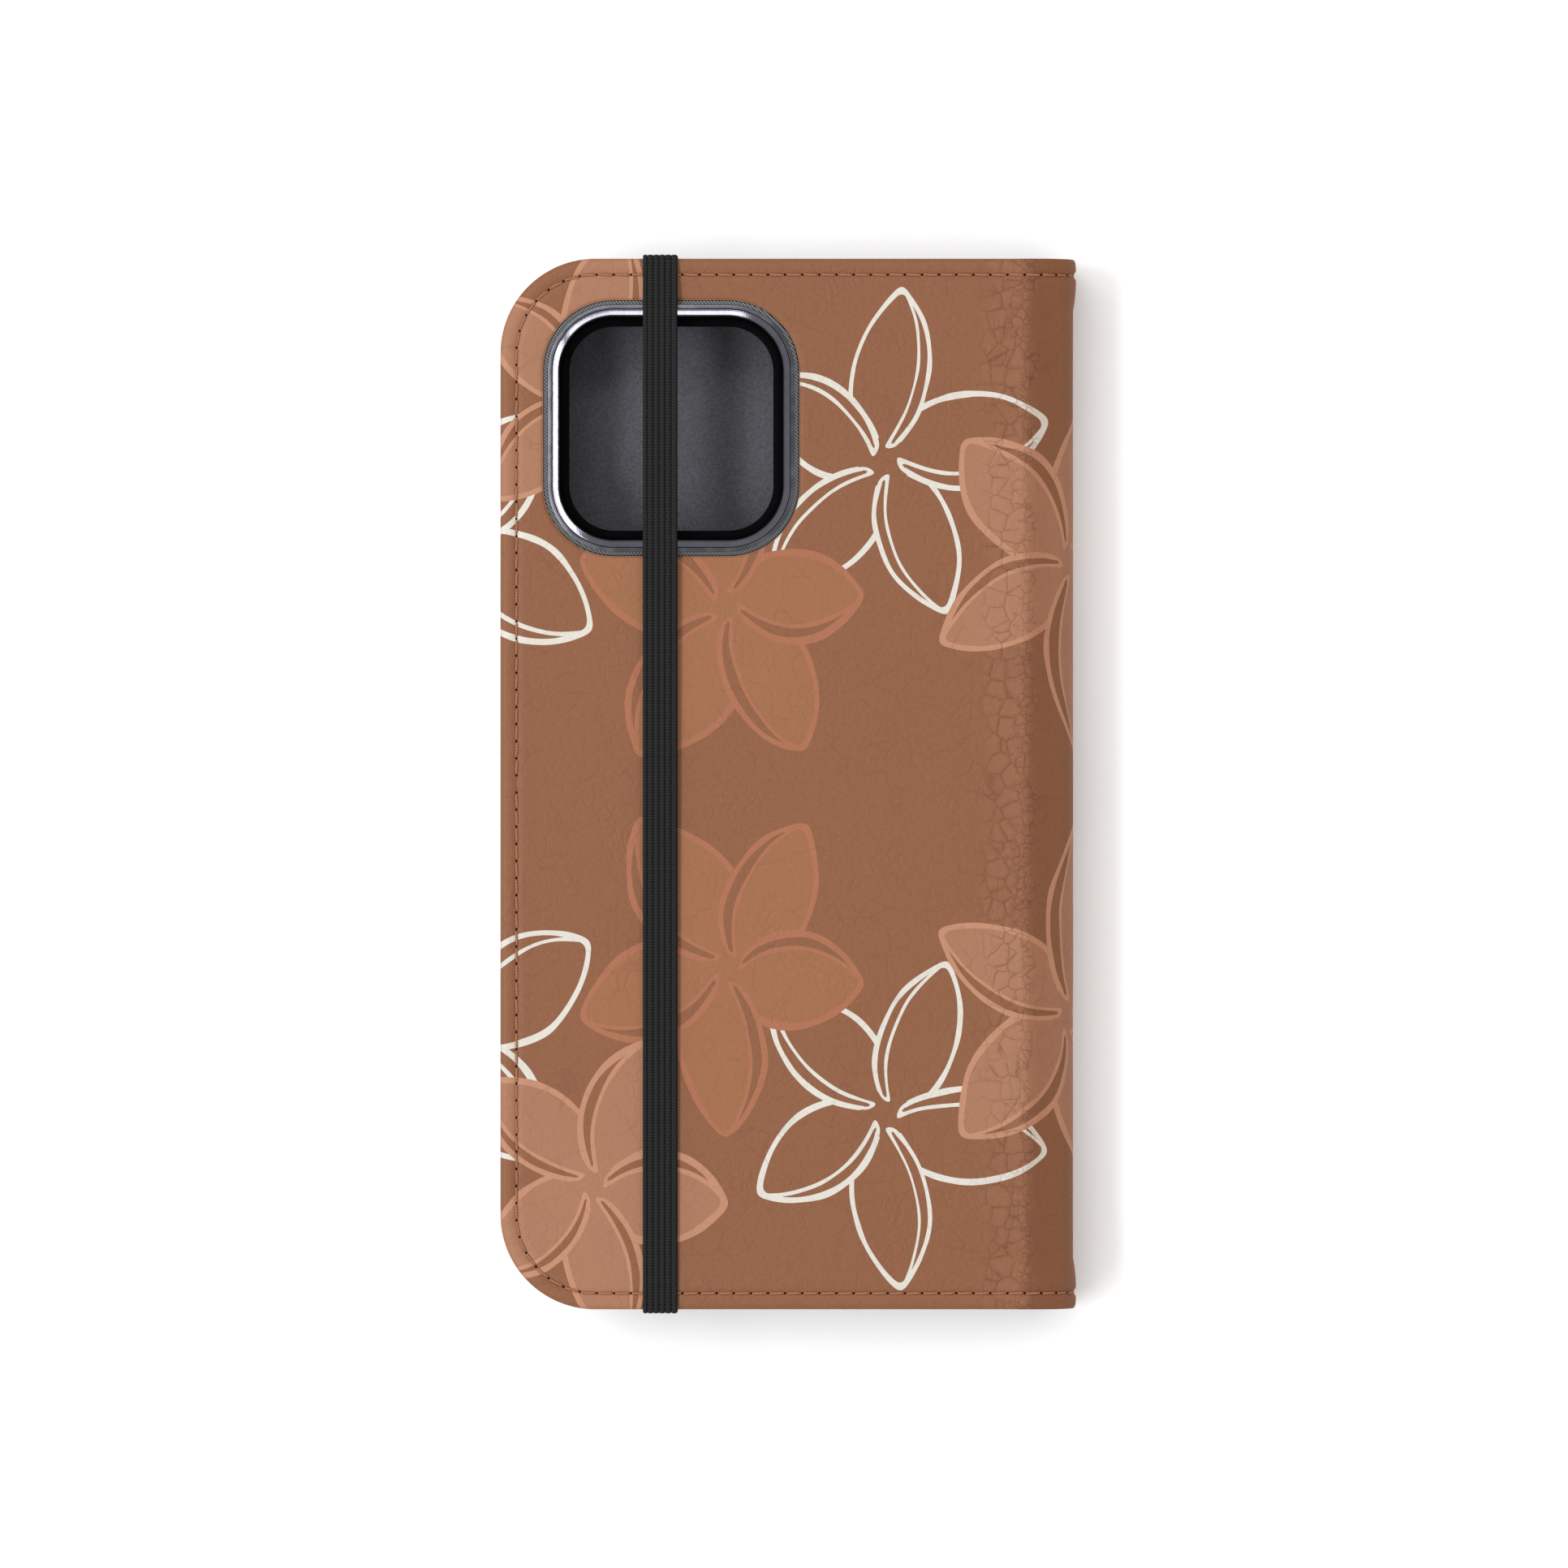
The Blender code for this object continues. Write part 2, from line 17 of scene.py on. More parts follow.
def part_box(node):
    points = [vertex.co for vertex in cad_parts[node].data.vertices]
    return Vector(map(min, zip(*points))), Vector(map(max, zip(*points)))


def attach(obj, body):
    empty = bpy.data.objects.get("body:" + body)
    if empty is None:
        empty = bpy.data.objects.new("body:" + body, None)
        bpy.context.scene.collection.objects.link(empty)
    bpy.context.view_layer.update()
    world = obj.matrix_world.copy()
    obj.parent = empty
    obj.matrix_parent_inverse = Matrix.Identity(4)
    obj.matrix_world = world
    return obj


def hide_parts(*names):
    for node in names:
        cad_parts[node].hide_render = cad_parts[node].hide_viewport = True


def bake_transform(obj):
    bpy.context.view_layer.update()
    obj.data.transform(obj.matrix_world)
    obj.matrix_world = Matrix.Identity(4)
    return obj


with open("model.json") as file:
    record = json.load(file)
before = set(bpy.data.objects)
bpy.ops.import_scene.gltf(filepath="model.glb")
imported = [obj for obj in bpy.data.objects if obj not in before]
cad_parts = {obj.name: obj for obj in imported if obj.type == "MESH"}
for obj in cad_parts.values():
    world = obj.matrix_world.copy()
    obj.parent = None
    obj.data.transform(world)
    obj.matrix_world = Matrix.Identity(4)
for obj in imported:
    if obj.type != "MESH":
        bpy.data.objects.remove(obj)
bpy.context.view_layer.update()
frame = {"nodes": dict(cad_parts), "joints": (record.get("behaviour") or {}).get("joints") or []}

MM = 0.001


def box_mm(node):
    """A CAD node's lowest and highest corners, in millimetres."""
    low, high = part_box(node)
    return np.array(low) / MM, np.array(high) / MM


# Places taken from the frame
GLUE = 0.1
LEATHER_LOW, LEATHER_HIGH = box_mm("back_leather")
SPINE_HIGH = box_mm("spine_leather")[1]
BOARD_LOW, BOARD_HIGH = box_mm("back_board")
BEZEL_LOW, BEZEL_HIGH = box_mm("camera_bezel")
SHELL_LOW, SHELL_HIGH = box_mm("phone_shell")
BAND_LOW, BAND_HIGH = box_mm("elastic_band")
SHELL_FLOOR_TOP = box_mm("shell_adhesive")[0][2] - GLUE
CREASE_Z = {joint["name"]: joint for joint in frame["joints"]}["cover_fold"]["pos_m"][2] / MM

TOP = LEATHER_HIGH[2]
HALF_Y = LEATHER_HIGH[1]
LEATHER_T = TOP - BOARD_HIGH[2] - GLUE
RIM_T = TOP - BOARD_LOW[2]
LINING_DEPTH = RIM_T + GLUE
LINING_T = 0.4
SPINE_R = CREASE_Z / (1 - math.cos(math.radians(45)))
ARC_X = SPINE_HIGH[0] - SPINE_R
ARC_LENGTH = SPINE_R * math.pi / 2
U_LEFT = LEATHER_LOW[0] - ARC_X
U_MID = ARC_LENGTH + TOP / 2 - SPINE_R
CORNER_R = 14.0
WINDOW = (BEZEL_LOW + BEZEL_HIGH) / 2
WINDOW_HALF = (BEZEL_HIGH[0] - BEZEL_LOW[0]) / 2
WINDOW_R = 10.4

# The seam
SEAM_INSET = 2.4
STITCH_PITCH = 2.53
CORNER_ARC = (CORNER_R - SEAM_INSET) * math.pi / 2
SEAM_RUN = U_MID - (U_LEFT + CORNER_R)

# Light on a level face, and the white haze that a matt coat adds, both relative to a white card
LIGHT_LEVEL = 1.53
COAT_HAZE = 0.037


def srgb(red, green, blue):
    """An 8-bit sRGB colour as linear RGB."""
    out = []
    for value in (red, green, blue):
        value /= 255
        out.append(value / 12.92 if value <= 0.04045 else ((value + 0.055) / 1.055) ** 2.4)
    return tuple(out)


def tone(red, green, blue, haze=COAT_HAZE):
    """The paint colour that reads as an 8-bit sRGB tone under the studio light."""
    return tuple(max(value - haze, 0.002) / LIGHT_LEVEL for value in srgb(red, green, blue))


# ---------------------------------------------------------------- shader helpers

class Nodes:
    """Adds nodes to one tree; each method returns an output socket."""

    def __init__(self, tree):
        self.tree = tree

    def feed(self, socket, value):
        """Link an output to an input socket, or set the socket to a plain value."""
        if isinstance(value, bpy.types.NodeSocket):
            self.tree.links.new(value, socket)
        elif socket.type == "RGBA" and len(value) == 3:
            socket.default_value = (*value, 1.0)
        else:
            socket.default_value = value

    def place(self, kind, values, **settings):
        """A node with its settings and with its first inputs fed in order."""
        node = self.tree.nodes.new("ShaderNode" + kind)
        for key, value in settings.items():
            setattr(node, key, value)
        for socket, value in zip(node.inputs, values):
            self.feed(socket, value)
        return node

    def add(self, kind, settings=None, **inputs):
        """A node with its settings and with its inputs fed by name."""
        node = self.place(kind, (), **(settings or {}))
        for key, value in inputs.items():
            self.feed(node.inputs[key.replace("_", " ")], value)
        return node

    def math(self, operation, *values):
        return self.place("Math", values, operation=operation).outputs[0]

    def times(self, first, second):
        return self.math("MULTIPLY", first, second)

    def plus(self, first, second):
        return self.math("ADD", first, second)

    def minus(self, first, second):
        return self.math("SUBTRACT", first, second)

    def vector(self, operation, *values):
        node = self.place("VectorMath", values, operation=operation)
        return node.outputs["Value" if operation in ("DISTANCE", "LENGTH", "DOT_PRODUCT") else 0]

    def scaled(self, vector, factor):
        return self.add("VectorMath", {"operation": "SCALE"}, Vector=vector, Scale=factor).outputs[0]

    def combine(self, x=0.0, y=0.0, z=0.0):
        return self.place("CombineXYZ", (x, y, z)).outputs[0]

    def split(self, vector):
        return self.place("SeparateXYZ", (vector,)).outputs

    def attribute(self, name):
        return self.place("Attribute", (), attribute_name=name).outputs["Vector"]

    def noise(self, vector, size, detail=2.0, roughness=0.5):
        """Noise whose features are about size millimetres across: value and colour outputs."""
        return self.add("TexNoise", Vector=vector, Scale=1 / size, Detail=detail,
                        Roughness=roughness).outputs

    def sway(self, vector, size, detail):
        """A noise vector about zero."""
        return self.vector("SUBTRACT", self.noise(vector, size, detail)["Color"], (0.5, 0.5, 0.5))

    def cells(self, vector, size, feature="DISTANCE_TO_EDGE", randomness=1.0):
        """Voronoi cells about size millimetres across; the distance is in cell widths."""
        return self.add("TexVoronoi", {"feature": feature}, Vector=vector, Scale=1 / size,
                        Randomness=randomness).outputs["Distance"]

    def ramp(self, value, low, high, out_low=0.0, out_high=1.0):
        """Smooth step of value from low to high, onto out_low to out_high."""
        return self.place("MapRange", (value, low, high, out_low, out_high),
                          interpolation_type="SMOOTHSTEP").outputs[0]

    def mix(self, factor, first, second, blend="MIX"):
        """Mix two colours."""
        node = self.place("Mix", (factor,), data_type="RGBA", blend_type=blend)
        self.feed(node.inputs[6], first)
        self.feed(node.inputs[7], second)
        return node.outputs[2]

    def between(self, factor, first, second):
        """Mix two numbers."""
        node = self.place("Mix", (factor,), data_type="FLOAT")
        self.feed(node.inputs[2], first)
        self.feed(node.inputs[3], second)
        return node.outputs[0]

    def bump(self, height, distance_mm):
        """A normal that is bent by a height; the distance is what a height of 1 stands for."""
        return self.add("Bump", Height=height, Distance=distance_mm * MM, Strength=1.0).outputs[0]

    def shade(self, **inputs):
        """Feed the tree's Principled shader."""
        shader = self.tree.nodes["Principled BSDF"]
        for key, value in inputs.items():
            self.feed(shader.inputs[key.replace("_", " ")], value)


def new_material(name, **base):
    """A material with one Principled shader, and its node helper."""
    mat = bpy.data.materials.new(name)
    mat.use_nodes = True
    nodes = Nodes(mat.node_tree)
    nodes.shade(**base)
    return mat, nodes


# ---------------------------------------------------------------- the printed pattern

# The three circles that cut a petal, for a root near the centre and a tip at (1, 0)
BAND_EDGE = ((0.517, 0.440), 0.653)
FOLD_EDGE = ((0.545, 0.700), 0.840)
PLAIN_EDGE = ((0.450, -0.510), 0.750)
ROOT_END = 0.085
TIP_ROUNDING = 0.07
ROOT_ROUNDING = 0.05
HEART = 3.4  # mm; the rest are petal lengths


def petal_group():
    """One petal as a node group, with a folded band along its clockwise side.

    Along and Across turn a place, measured from the flower's centre, into petal lengths.
    The outputs are masks: solid, band (the strip under the fold) and line.
    """
    group = bpy.data.node_groups.new("petal", "ShaderNodeTree")
    sockets = [(name, "INPUT", "Vector") for name in ("Offset", "Along", "Across")]
    sockets += [(name, "INPUT", "Float") for name in ("Line", "Fold")]
    sockets += [(name, "OUTPUT", "Float") for name in ("Solid", "Band", "Line")]
    for name, way, kind in sockets:
        group.interface.new_socket(name=name, in_out=way, socket_type="NodeSocket" + kind)
    g = Nodes(group)
    given = group.nodes.new("NodeGroupInput").outputs
    px = g.vector("DOT_PRODUCT", given["Offset"], given["Along"])
    py = g.vector("DOT_PRODUCT", given["Offset"], given["Across"])
    point = g.combine(px, py)
    band_side, fold_side, plain_side = [
        g.minus(g.vector("DISTANCE", point, (*centre, 0.0)), radius)
        for centre, radius in (BAND_EDGE, FOLD_EDGE, PLAIN_EDGE)]
    outline = g.math("SMOOTH_MAX", band_side, plain_side, TIP_ROUNDING)
    solid = g.math("LESS_THAN", outline, given["Line"])
    # the folded strip is closed by a short line at its root
    from_root = g.minus(ROOT_END, px)
    strip = g.math("MAXIMUM", band_side, g.times(fold_side, -1.0))
    strip = g.math("SMOOTH_MAX", strip, from_root, ROOT_ROUNDING)
    rooted = g.math("LESS_THAN", from_root, -ROOT_ROUNDING * 0.6)
    edge = g.times(g.math("LESS_THAN", g.math("ABSOLUTE", outline), given["Line"]), rooted)
    fold = g.math("LESS_THAN", g.math("ABSOLUTE", strip), given["Fold"])
    line = g.times(solid, g.math("MAXIMUM", edge, fold))
    band = g.times(g.math("LESS_THAN", strip, 0.0), solid)
    made = group.nodes.new("NodeGroupOutput")
    for socket, mask in zip(made.inputs, (solid, band, line)):
        g.feed(socket, mask)
    return group


def blossom(n, group, offset, petals, half_lines):
    """Masks (solid, band, line) of one flower; each petal tucks under the next one."""
    drawn = []
    for degrees, length, width in petals:
        turn = math.radians(degrees)
        across = length * width
        node = n.add("Group", {"node_tree": group}, Offset=offset,
                     Along=(math.cos(turn) / length, math.sin(turn) / length, 0.0),
                     Across=(-math.sin(turn) / across, math.cos(turn) / across, 0.0),
                     Line=n.math("DIVIDE", half_lines[0], length),
                     Fold=n.math("DIVIDE", half_lines[1], length))
        drawn.append([node.outputs[key] for key in ("Solid", "Band", "Line")])
    solid = n.math("LESS_THAN", n.vector("LENGTH", offset), HEART)
    band = line = 0.0
    for own, upper in zip(drawn, drawn[1:] + drawn[:1]):
        shown = n.minus(1.0, upper[0])
        solid = n.math("MAXIMUM", solid, own[0])
        band = n.math("MAXIMUM", band, n.times(own[1], shown))
        line = n.math("MAXIMUM", line, n.times(own[2], shown))
    return solid, band, line


BASE_TAN = tone(152, 105, 79)
DARK_FILL = tone(171, 118, 87)
DARK_LINE = tone(184, 122, 94)
LIGHT_FILL = tone(181, 131, 104)
LIGHT_LINE = tone(205, 151, 122)
WHITE_INK = tone(240, 236, 226)

# Centre (x across the back, y from the mirror line), fill, line, line widths, and the petals
# counter-clockwise: the direction of the tip in degrees, its distance and the width factor
BLOSSOMS = [
    ((-49.4, 35.5), BASE_TAN, WHITE_INK, (0.72, 0.46),
     ((-31.5, 23.6, 1.35), (60, 23.0, 1.25), (132, 24.0, 1.1), (200, 24.0, 1.1),
      (262, 23.0, 1.1))),
    ((14.4, 48.3), BASE_TAN, WHITE_INK, (0.72, 0.46),
     ((13.3, 24.8, 1.20), (84.4, 26.0, 0.94), (147.7, 21.8, 1.24), (228.5, 24.5, 1.10),
      (292.2, 24.1, 1.03))),
    ((-8.8, 27.1), DARK_FILL, DARK_LINE, (0.72, 0.42),
     ((4.3, 20.0, 1.52), (90.8, 24.3, 1.16), (161.8, 22.7, 1.34), (239.8, 26.0, 1.26),
      (298.4, 24.4, 1.15))),
    ((-28.8, 58.8), LIGHT_FILL, LIGHT_LINE, (0.76, 0.48),
     ((8.4, 20.0, 1.50), (80.6, 24.0, 1.02), (140, 21.0, 1.12), (226, 21.8, 1.12),
      (291.7, 22.7, 1.20))),
    ((43.2, 34.0), LIGHT_FILL, LIGHT_LINE, (0.78, 0.48),
     ((68, 25.0, 1.30), (135, 24.5, 1.24), (211.6, 24.2, 1.04), (278, 29.5, 1.05),
      (353, 24.4, 1.12))),
]
MIRROR_LINE = -0.55


def printed_colour(n, skin):
    """The print on the leather: mirrored about a line near the middle and about the spine."""
    u, v, _ = n.split(skin)
    wobble = n.scaled(n.sway(skin, 15.0, 1.0), 1.8)
    pen = n.ramp(n.noise(skin, 7.0, 1.0)[0], 0.3, 0.7, 0.82, 1.16)
    folded = n.minus(U_MID, n.math("ABSOLUTE", n.minus(u, U_MID)))
    point = n.combine(folded, n.math("ABSOLUTE", n.minus(v, MIRROR_LINE)), 0.0)
    point = n.vector("ADD", point, n.vector("MULTIPLY", wobble, (1.0, 1.0, 0.0)))
    group = petal_group()
    colour = BASE_TAN
    for (x, y), fill, ink, lines, petals in BLOSSOMS:
        offset = n.vector("SUBTRACT", point, (x - ARC_X, y, 0.0))
        half_lines = [n.times(pen, line / 2) for line in lines]
        solid, band, line = blossom(n, group, offset, petals, half_lines)
        colour = n.mix(solid, colour, fill)
        colour = n.mix(band, colour, BASE_TAN)
        colour = n.mix(line, colour, ink)
    return colour


# ---------------------------------------------------------------- materials

CRACKLE_DARK = tone(112, 70, 48)
# Painted shade, multiplied into the leather over the spine's bends
BEND_SHADE = (0.80, 0.73, 0.67)
# A lighter tint for the nap's specks, and for the painted highlights on the crackle's pillows and on the
# strip before the bend
SPECK_AND_HIGHLIGHT_TINT = tone(190, 142, 116)
# Painted shade in the needle holes
HOLE_SHADE = tone(46, 14, 6, 0.0)
CUT_EDGE = tone(205, 165, 140)


def wrinkles(n, skin, warp, patches):
    """Masks of the leather's broken wrinkles: wide cells and, between them, fine ones."""
    wide = n.cells(n.vector("ADD", skin, warp), 4.6)
    fine = n.cells(n.vector("ADD", skin, n.scaled(warp, 0.5)), 1.7)
    return (n.times(n.ramp(wide, 0.0, 0.05, 1.0, 0.0), n.ramp(patches, 0.48, 0.62)),
            n.times(n.ramp(fine, 0.0, 0.14, 1.0, 0.0), n.ramp(patches, 0.36, 0.56, 1.0, 0.0)))


def crackle(n, skin, from_mid, patches):
    """Cracks and pillows between them where the leather bends, smaller towards the bend."""
    ragged = n.plus(from_mid, n.times(n.minus(patches, 0.5), 7.0))
    zone = n.times(n.ramp(ragged, 10.6, 12.2), n.ramp(ragged, 16.5, 20.0, 1.0, 0.0))
    bent = n.vector("ADD", skin, n.scaled(n.sway(skin, 1.6, 2.0), 0.45))
    small = n.ramp(ragged, 13.2, 14.0, 1.0, 0.0)
    broken = n.ramp(n.noise(skin, 2.6, 2.0)[0], 0.34, 0.56, 0.4, 1.0)
    crack = pillow = 0.0
    for size, share in ((2.7, n.minus(1.0, small)), (1.5, small)):
        cell = n.times(n.cells(bent, size, randomness=0.7), size)
        share = n.times(share, zone)
        crack = n.plus(crack, n.times(n.ramp(cell, 0.02, 0.12, 1.0, 0.0), share))
        pillow = n.plus(pillow, n.times(n.ramp(cell, 0.0, 0.6), share))
    return n.times(crack, broken), pillow


def needle_hole(n, seam_s, seam_d):
    """Mask of the needle holes, one between each two stitches."""
    turns = n.plus(n.math("DIVIDE", seam_s, STITCH_PITCH), 0.5)
    along = n.times(n.minus(n.math("FRACT", turns), 0.5), STITCH_PITCH)
    return n.ramp(n.vector("LENGTH", n.combine(along, seam_d)), 0.13, 0.20, 1.0, 0.0)


def leather_material():
    """Printed leather: the print, then patchy tone, wrinkles and cracks with painted-highlight pillows,
    painted shade at the spine's bends with a speckled painted highlight beside them, painted shade along
    the seam line and in its needle holes, and the cut edges.
    """
    mat, n = new_material("printed_leather")
    skin = n.attribute("skin")
    seam_s, seam_d, _ = n.split(n.attribute("seam"))
    inset, window, inner = n.split(n.attribute("trim"))
    from_mid = n.math("ABSOLUTE", n.minus(n.split(skin)[0], U_MID))
    warp = n.scaled(n.sway(skin, 3.0, 3.0), 2.4)
    patches = n.noise(skin, 8.0, 2.0)[0]
    speck = n.noise(skin, 0.7, 3.0, 0.7)[0]
    vein, fine_vein = wrinkles(n, skin, warp, patches)
    crack, pillow = crackle(n, skin, from_mid, patches)
    hole = needle_hole(n, seam_s, seam_d)
    # Painted shade: the leather is darkened over the spine's bends, easing off again towards the spine's
    # side
    bend_shade_mask = n.times(n.ramp(from_mid, 11.8, 13.4, 1.0, 0.0), n.ramp(from_mid, 6.4, 11.0))
    # Painted highlight: a speckled light strip on the flat just before each bend
    highlight_strip = n.times(n.ramp(from_mid, 11.4, 12.6), n.ramp(from_mid, 13.2, 15.6, 1.0, 0.0))
    speckled_highlight = n.times(highlight_strip, n.ramp(n.noise(skin, 0.32, 2.0)[0], 0.46, 0.64))

    colour = printed_colour(n, skin)
    for mask, shade in (
            (n.ramp(n.noise(skin, 20.0, 3.0, 0.6)[0], 0.3, 0.7, 0.0, 0.07), tone(132, 88, 66)),
            (n.ramp(speck, 0.35, 0.75, 0.0, 0.10), SPECK_AND_HIGHLIGHT_TINT),
            (n.times(vein, 0.14), CRACKLE_DARK), (n.times(fine_vein, 0.06), CRACKLE_DARK),
            # The pillows' centres are painted lighter: a painted highlight on the raised cells
            (n.times(pillow, 0.14), SPECK_AND_HIGHLIGHT_TINT), (n.times(crack, 0.4), CRACKLE_DARK)):
        colour = n.mix(mask, colour, shade)
    colour = n.mix(bend_shade_mask, colour, BEND_SHADE, "MULTIPLY")
    for mask, shade in (
            # Speckled painted highlight before the bend
            (n.times(speckled_highlight, 0.22), SPECK_AND_HIGHLIGHT_TINT),
            # Painted shade in the groove along the seam
            (n.ramp(n.math("ABSOLUTE", seam_d), 0.16, 0.36, 0.16, 0.0), tone(118, 76, 54)),
            # Painted shade in the needle holes
            (hole, HOLE_SHADE), (n.ramp(inset, 0.0, 0.35, 0.30, 0.0), tone(120, 78, 58)),
            (n.ramp(window, 0.04, 0.16, 0.9, 0.0), CUT_EDGE), (inner, tone(139, 95, 70))):
        colour = n.mix(mask, colour, shade)

    pebble = n.cells(n.vector("ADD", skin, n.scaled(warp, 0.08)), 0.62, "SMOOTH_F1")
    height = 0.0
    for relief, share in (
            (pebble, -0.5), (n.noise(skin, 0.28, 2.0)[0], 0.25),
            (n.noise(n.vector("ADD", skin, warp), 2.2, 2.0)[0], 0.8), (vein, -0.35),
            (fine_vein, -0.5), (pillow, 0.6), (crack, -0.4), (hole, -2.5)):
        height = n.plus(height, n.times(relief, share))
    worn = n.plus(n.ramp(from_mid, 7.0, 11.0, 0.30, 0.0), 0.47)
    n.shade(Base_Color=colour, Normal=n.bump(height, 0.06), Roughness=n.plus(worn, n.times(speck, 0.14)),
            Specular_IOR_Level=n.between(hole, 0.3, 0.0))
    return mat


def lining_material():
    """Suede-like lining: short nap in two tones with brushed patches."""
    mat, n = new_material("suede_lining", Roughness=0.92, Specular_IOR_Level=0.15)
    place = n.attribute("skin")
    nap = n.noise(place, 0.35, 3.0, 0.7)[0]
    brushed = n.noise(n.vector("MULTIPLY", place, (1.0, 0.45, 1.0)), 9.0, 3.0, 0.6)[0]
    colour = n.mix(n.ramp(nap, 0.3, 0.7), srgb(72, 72, 77), srgb(90, 90, 96))
    colour = n.mix(n.ramp(brushed, 0.4, 0.65, 0.0, 0.25), colour, srgb(60, 60, 65))
    n.shade(Base_Color=colour, Normal=n.bump(nap, 0.05), Sheen_Weight=0.3, Sheen_Roughness=0.45,
            Sheen_Tint=srgb(180, 180, 190))
    return mat


def object_space(n):
    """Object coordinates in millimetres, for rigid pieces."""
    return n.scaled(n.place("TexCoord", ()).outputs["Object"], 1 / MM)


def board_material():
    """Pressed grey board: fibres and flecks."""
    mat, n = new_material("pressed_board", Roughness=0.9)
    place = object_space(n)
    fibre = n.noise(n.vector("MULTIPLY", place, (0.25, 1.0, 1.0)), 0.6, 4.0, 0.7)[0]
    fleck = n.ramp(n.noise(place, 0.5, 1.0)[0], 0.68, 0.74)
    colour = n.mix(fibre, srgb(150, 138, 118), srgb(186, 174, 152))
    colour = n.mix(fleck, colour, srgb(96, 84, 70))
    n.shade(Base_Color=colour, Normal=n.bump(fibre, 0.08))
    return mat


def adhesive_material():
    """White bonding sheet with a fine square scrim."""
    mat, n = new_material("bonding_sheet", Roughness=0.5)
    place = object_space(n)
    scrim = n.cells(place, 1.2, randomness=0.15)
    colour = n.mix(n.ramp(scrim, 0.0, 0.12), srgb(214, 212, 200), srgb(232, 230, 220))
    n.shade(Base_Color=colour, Normal=n.bump(scrim, 0.04))
    return mat


def thread_material(name, dark, light):
    """Twisted sewing thread: plies run across each stitch."""
    mat, n = new_material(name, Roughness=0.6)
    along, around, _ = n.split(n.attribute("ply"))
    twist = n.math("SINE", n.plus(n.times(along, math.tau / 0.42), around))
    fuzz = n.noise(n.attribute("skin"), 0.12, 2.0)[0]
    ply = n.ramp(n.plus(twist, n.times(fuzz, 0.8)), -0.9, 1.3)
    n.shade(Base_Color=n.mix(ply, dark, light), Normal=n.bump(ply, 0.03), Specular_IOR_Level=0.25)
    return mat


PICK_PITCH = 0.44
# The dark is painted shade in the rib valleys and between picks; the light is fibre specks and the
# painted highlight on the picks
ELASTIC_DARK = srgb(5, 5, 5)
ELASTIC_MID = srgb(29, 29, 29)
ELASTIC_LIGHT = srgb(62, 62, 62)


def elastic_material():
    """Black ribbed elastic: slanted picks climb the left side of every rib, painted lighter there as a
    painted highlight, with painted shade in the valleys between ribs.
    """
    mat, n = new_material("woven_elastic", Roughness=0.8, Specular_IOR_Level=0.08)
    across, along, rib = n.split(n.attribute("weave"))
    phase = n.minus(n.math("DIVIDE", along, PICK_PITCH), n.times(across, 1.2))
    pick = n.math("SINE", n.times(phase, math.tau))
    # The picks are painted mostly on each rib's left side, where the lamp falls: painted highlight and
    # shade
    left = n.ramp(across, 0.10, 0.62, 1.0, 0.12)
    fibre = n.noise(n.combine(n.times(across, 9.0), n.times(along, 2.0)), 1.0, 3.0, 0.7)[0]
    pick_on_lit_side = n.times(pick, left)
    # Painted shade: the valleys between ribs are darker than the crests
    colour = n.mix(n.ramp(rib, 0.25, 0.95), ELASTIC_DARK, ELASTIC_MID)
    colour = n.mix(n.ramp(pick_on_lit_side, 0.15, 0.95, 0.0, 0.6), colour, ELASTIC_LIGHT)
    colour = n.mix(n.ramp(pick_on_lit_side, -0.95, -0.2, 0.65, 0.0), colour, ELASTIC_DARK)
    colour = n.mix(n.ramp(fibre, 0.4, 0.7, 0.0, 0.15), colour, ELASTIC_LIGHT)
    height = n.plus(n.times(pick_on_lit_side, 0.6), n.times(fibre, 0.5))
    n.shade(Base_Color=colour, Normal=n.bump(height, 0.06))
    return mat


def polymer_material():
    """Black moulded polymer: satin skin with a fine spark texture; over the collar and its ledge it is
    painted near black, a painted shade of the recess.
    """
    mat, n = new_material("moulded_polymer")
    place = object_space(n)
    spark = n.noise(place, 0.16, 2.0, 0.6)[0]
    cloud = n.noise(place, 7.0, 2.0)[0]
    colour = n.mix(cloud, srgb(14, 14, 16), srgb(21, 21, 23))
    # Painted shade: above this height the collar and its ledge are painted near black with little
    # specular
    collar = n.ramp(n.split(place)[2], SHELL_FLOOR_TOP - 1.4, SHELL_FLOOR_TOP - 0.4)
    n.shade(Base_Color=n.mix(collar, colour, srgb(5, 5, 6)), Normal=n.bump(spark, 0.02),
            Specular_IOR_Level=n.between(collar, 0.14, 0.02),
            Roughness=n.ramp(cloud, 0.3, 0.7, 0.36, 0.48))
    return mat


HATCH_PITCH = 0.5
BEVEL_DEPTH = 0.57


def collar_material():
    """Dark anodised collar; its outer bevel has a fine diagonal hatch."""
    mat, n = new_material("collar_grey", Metallic=0.9)
    place = object_space(n)
    x, y, z = n.split(place)
    hatch = n.math("SINE", n.times(n.plus(x, y), math.tau / HATCH_PITCH))
    bevel = n.math("LESS_THAN", z, BEZEL_HIGH[2] - BEVEL_DEPTH)
    wear = n.noise(place, 2.5, 3.0)[0]
    colour = n.mix(n.ramp(wear, 0.4, 0.75), srgb(74, 74, 80), srgb(92, 92, 98))
    ridge = n.mix(n.ramp(hatch, -0.7, 0.5), srgb(62, 63, 66), srgb(116, 118, 119))
    n.shade(Base_Color=n.mix(bevel, colour, ridge), Normal=n.bump(n.times(hatch, bevel), 0.05),
            Roughness=n.between(bevel, n.ramp(wear, 0.3, 0.7, 0.26, 0.34), 0.42))
    return mat


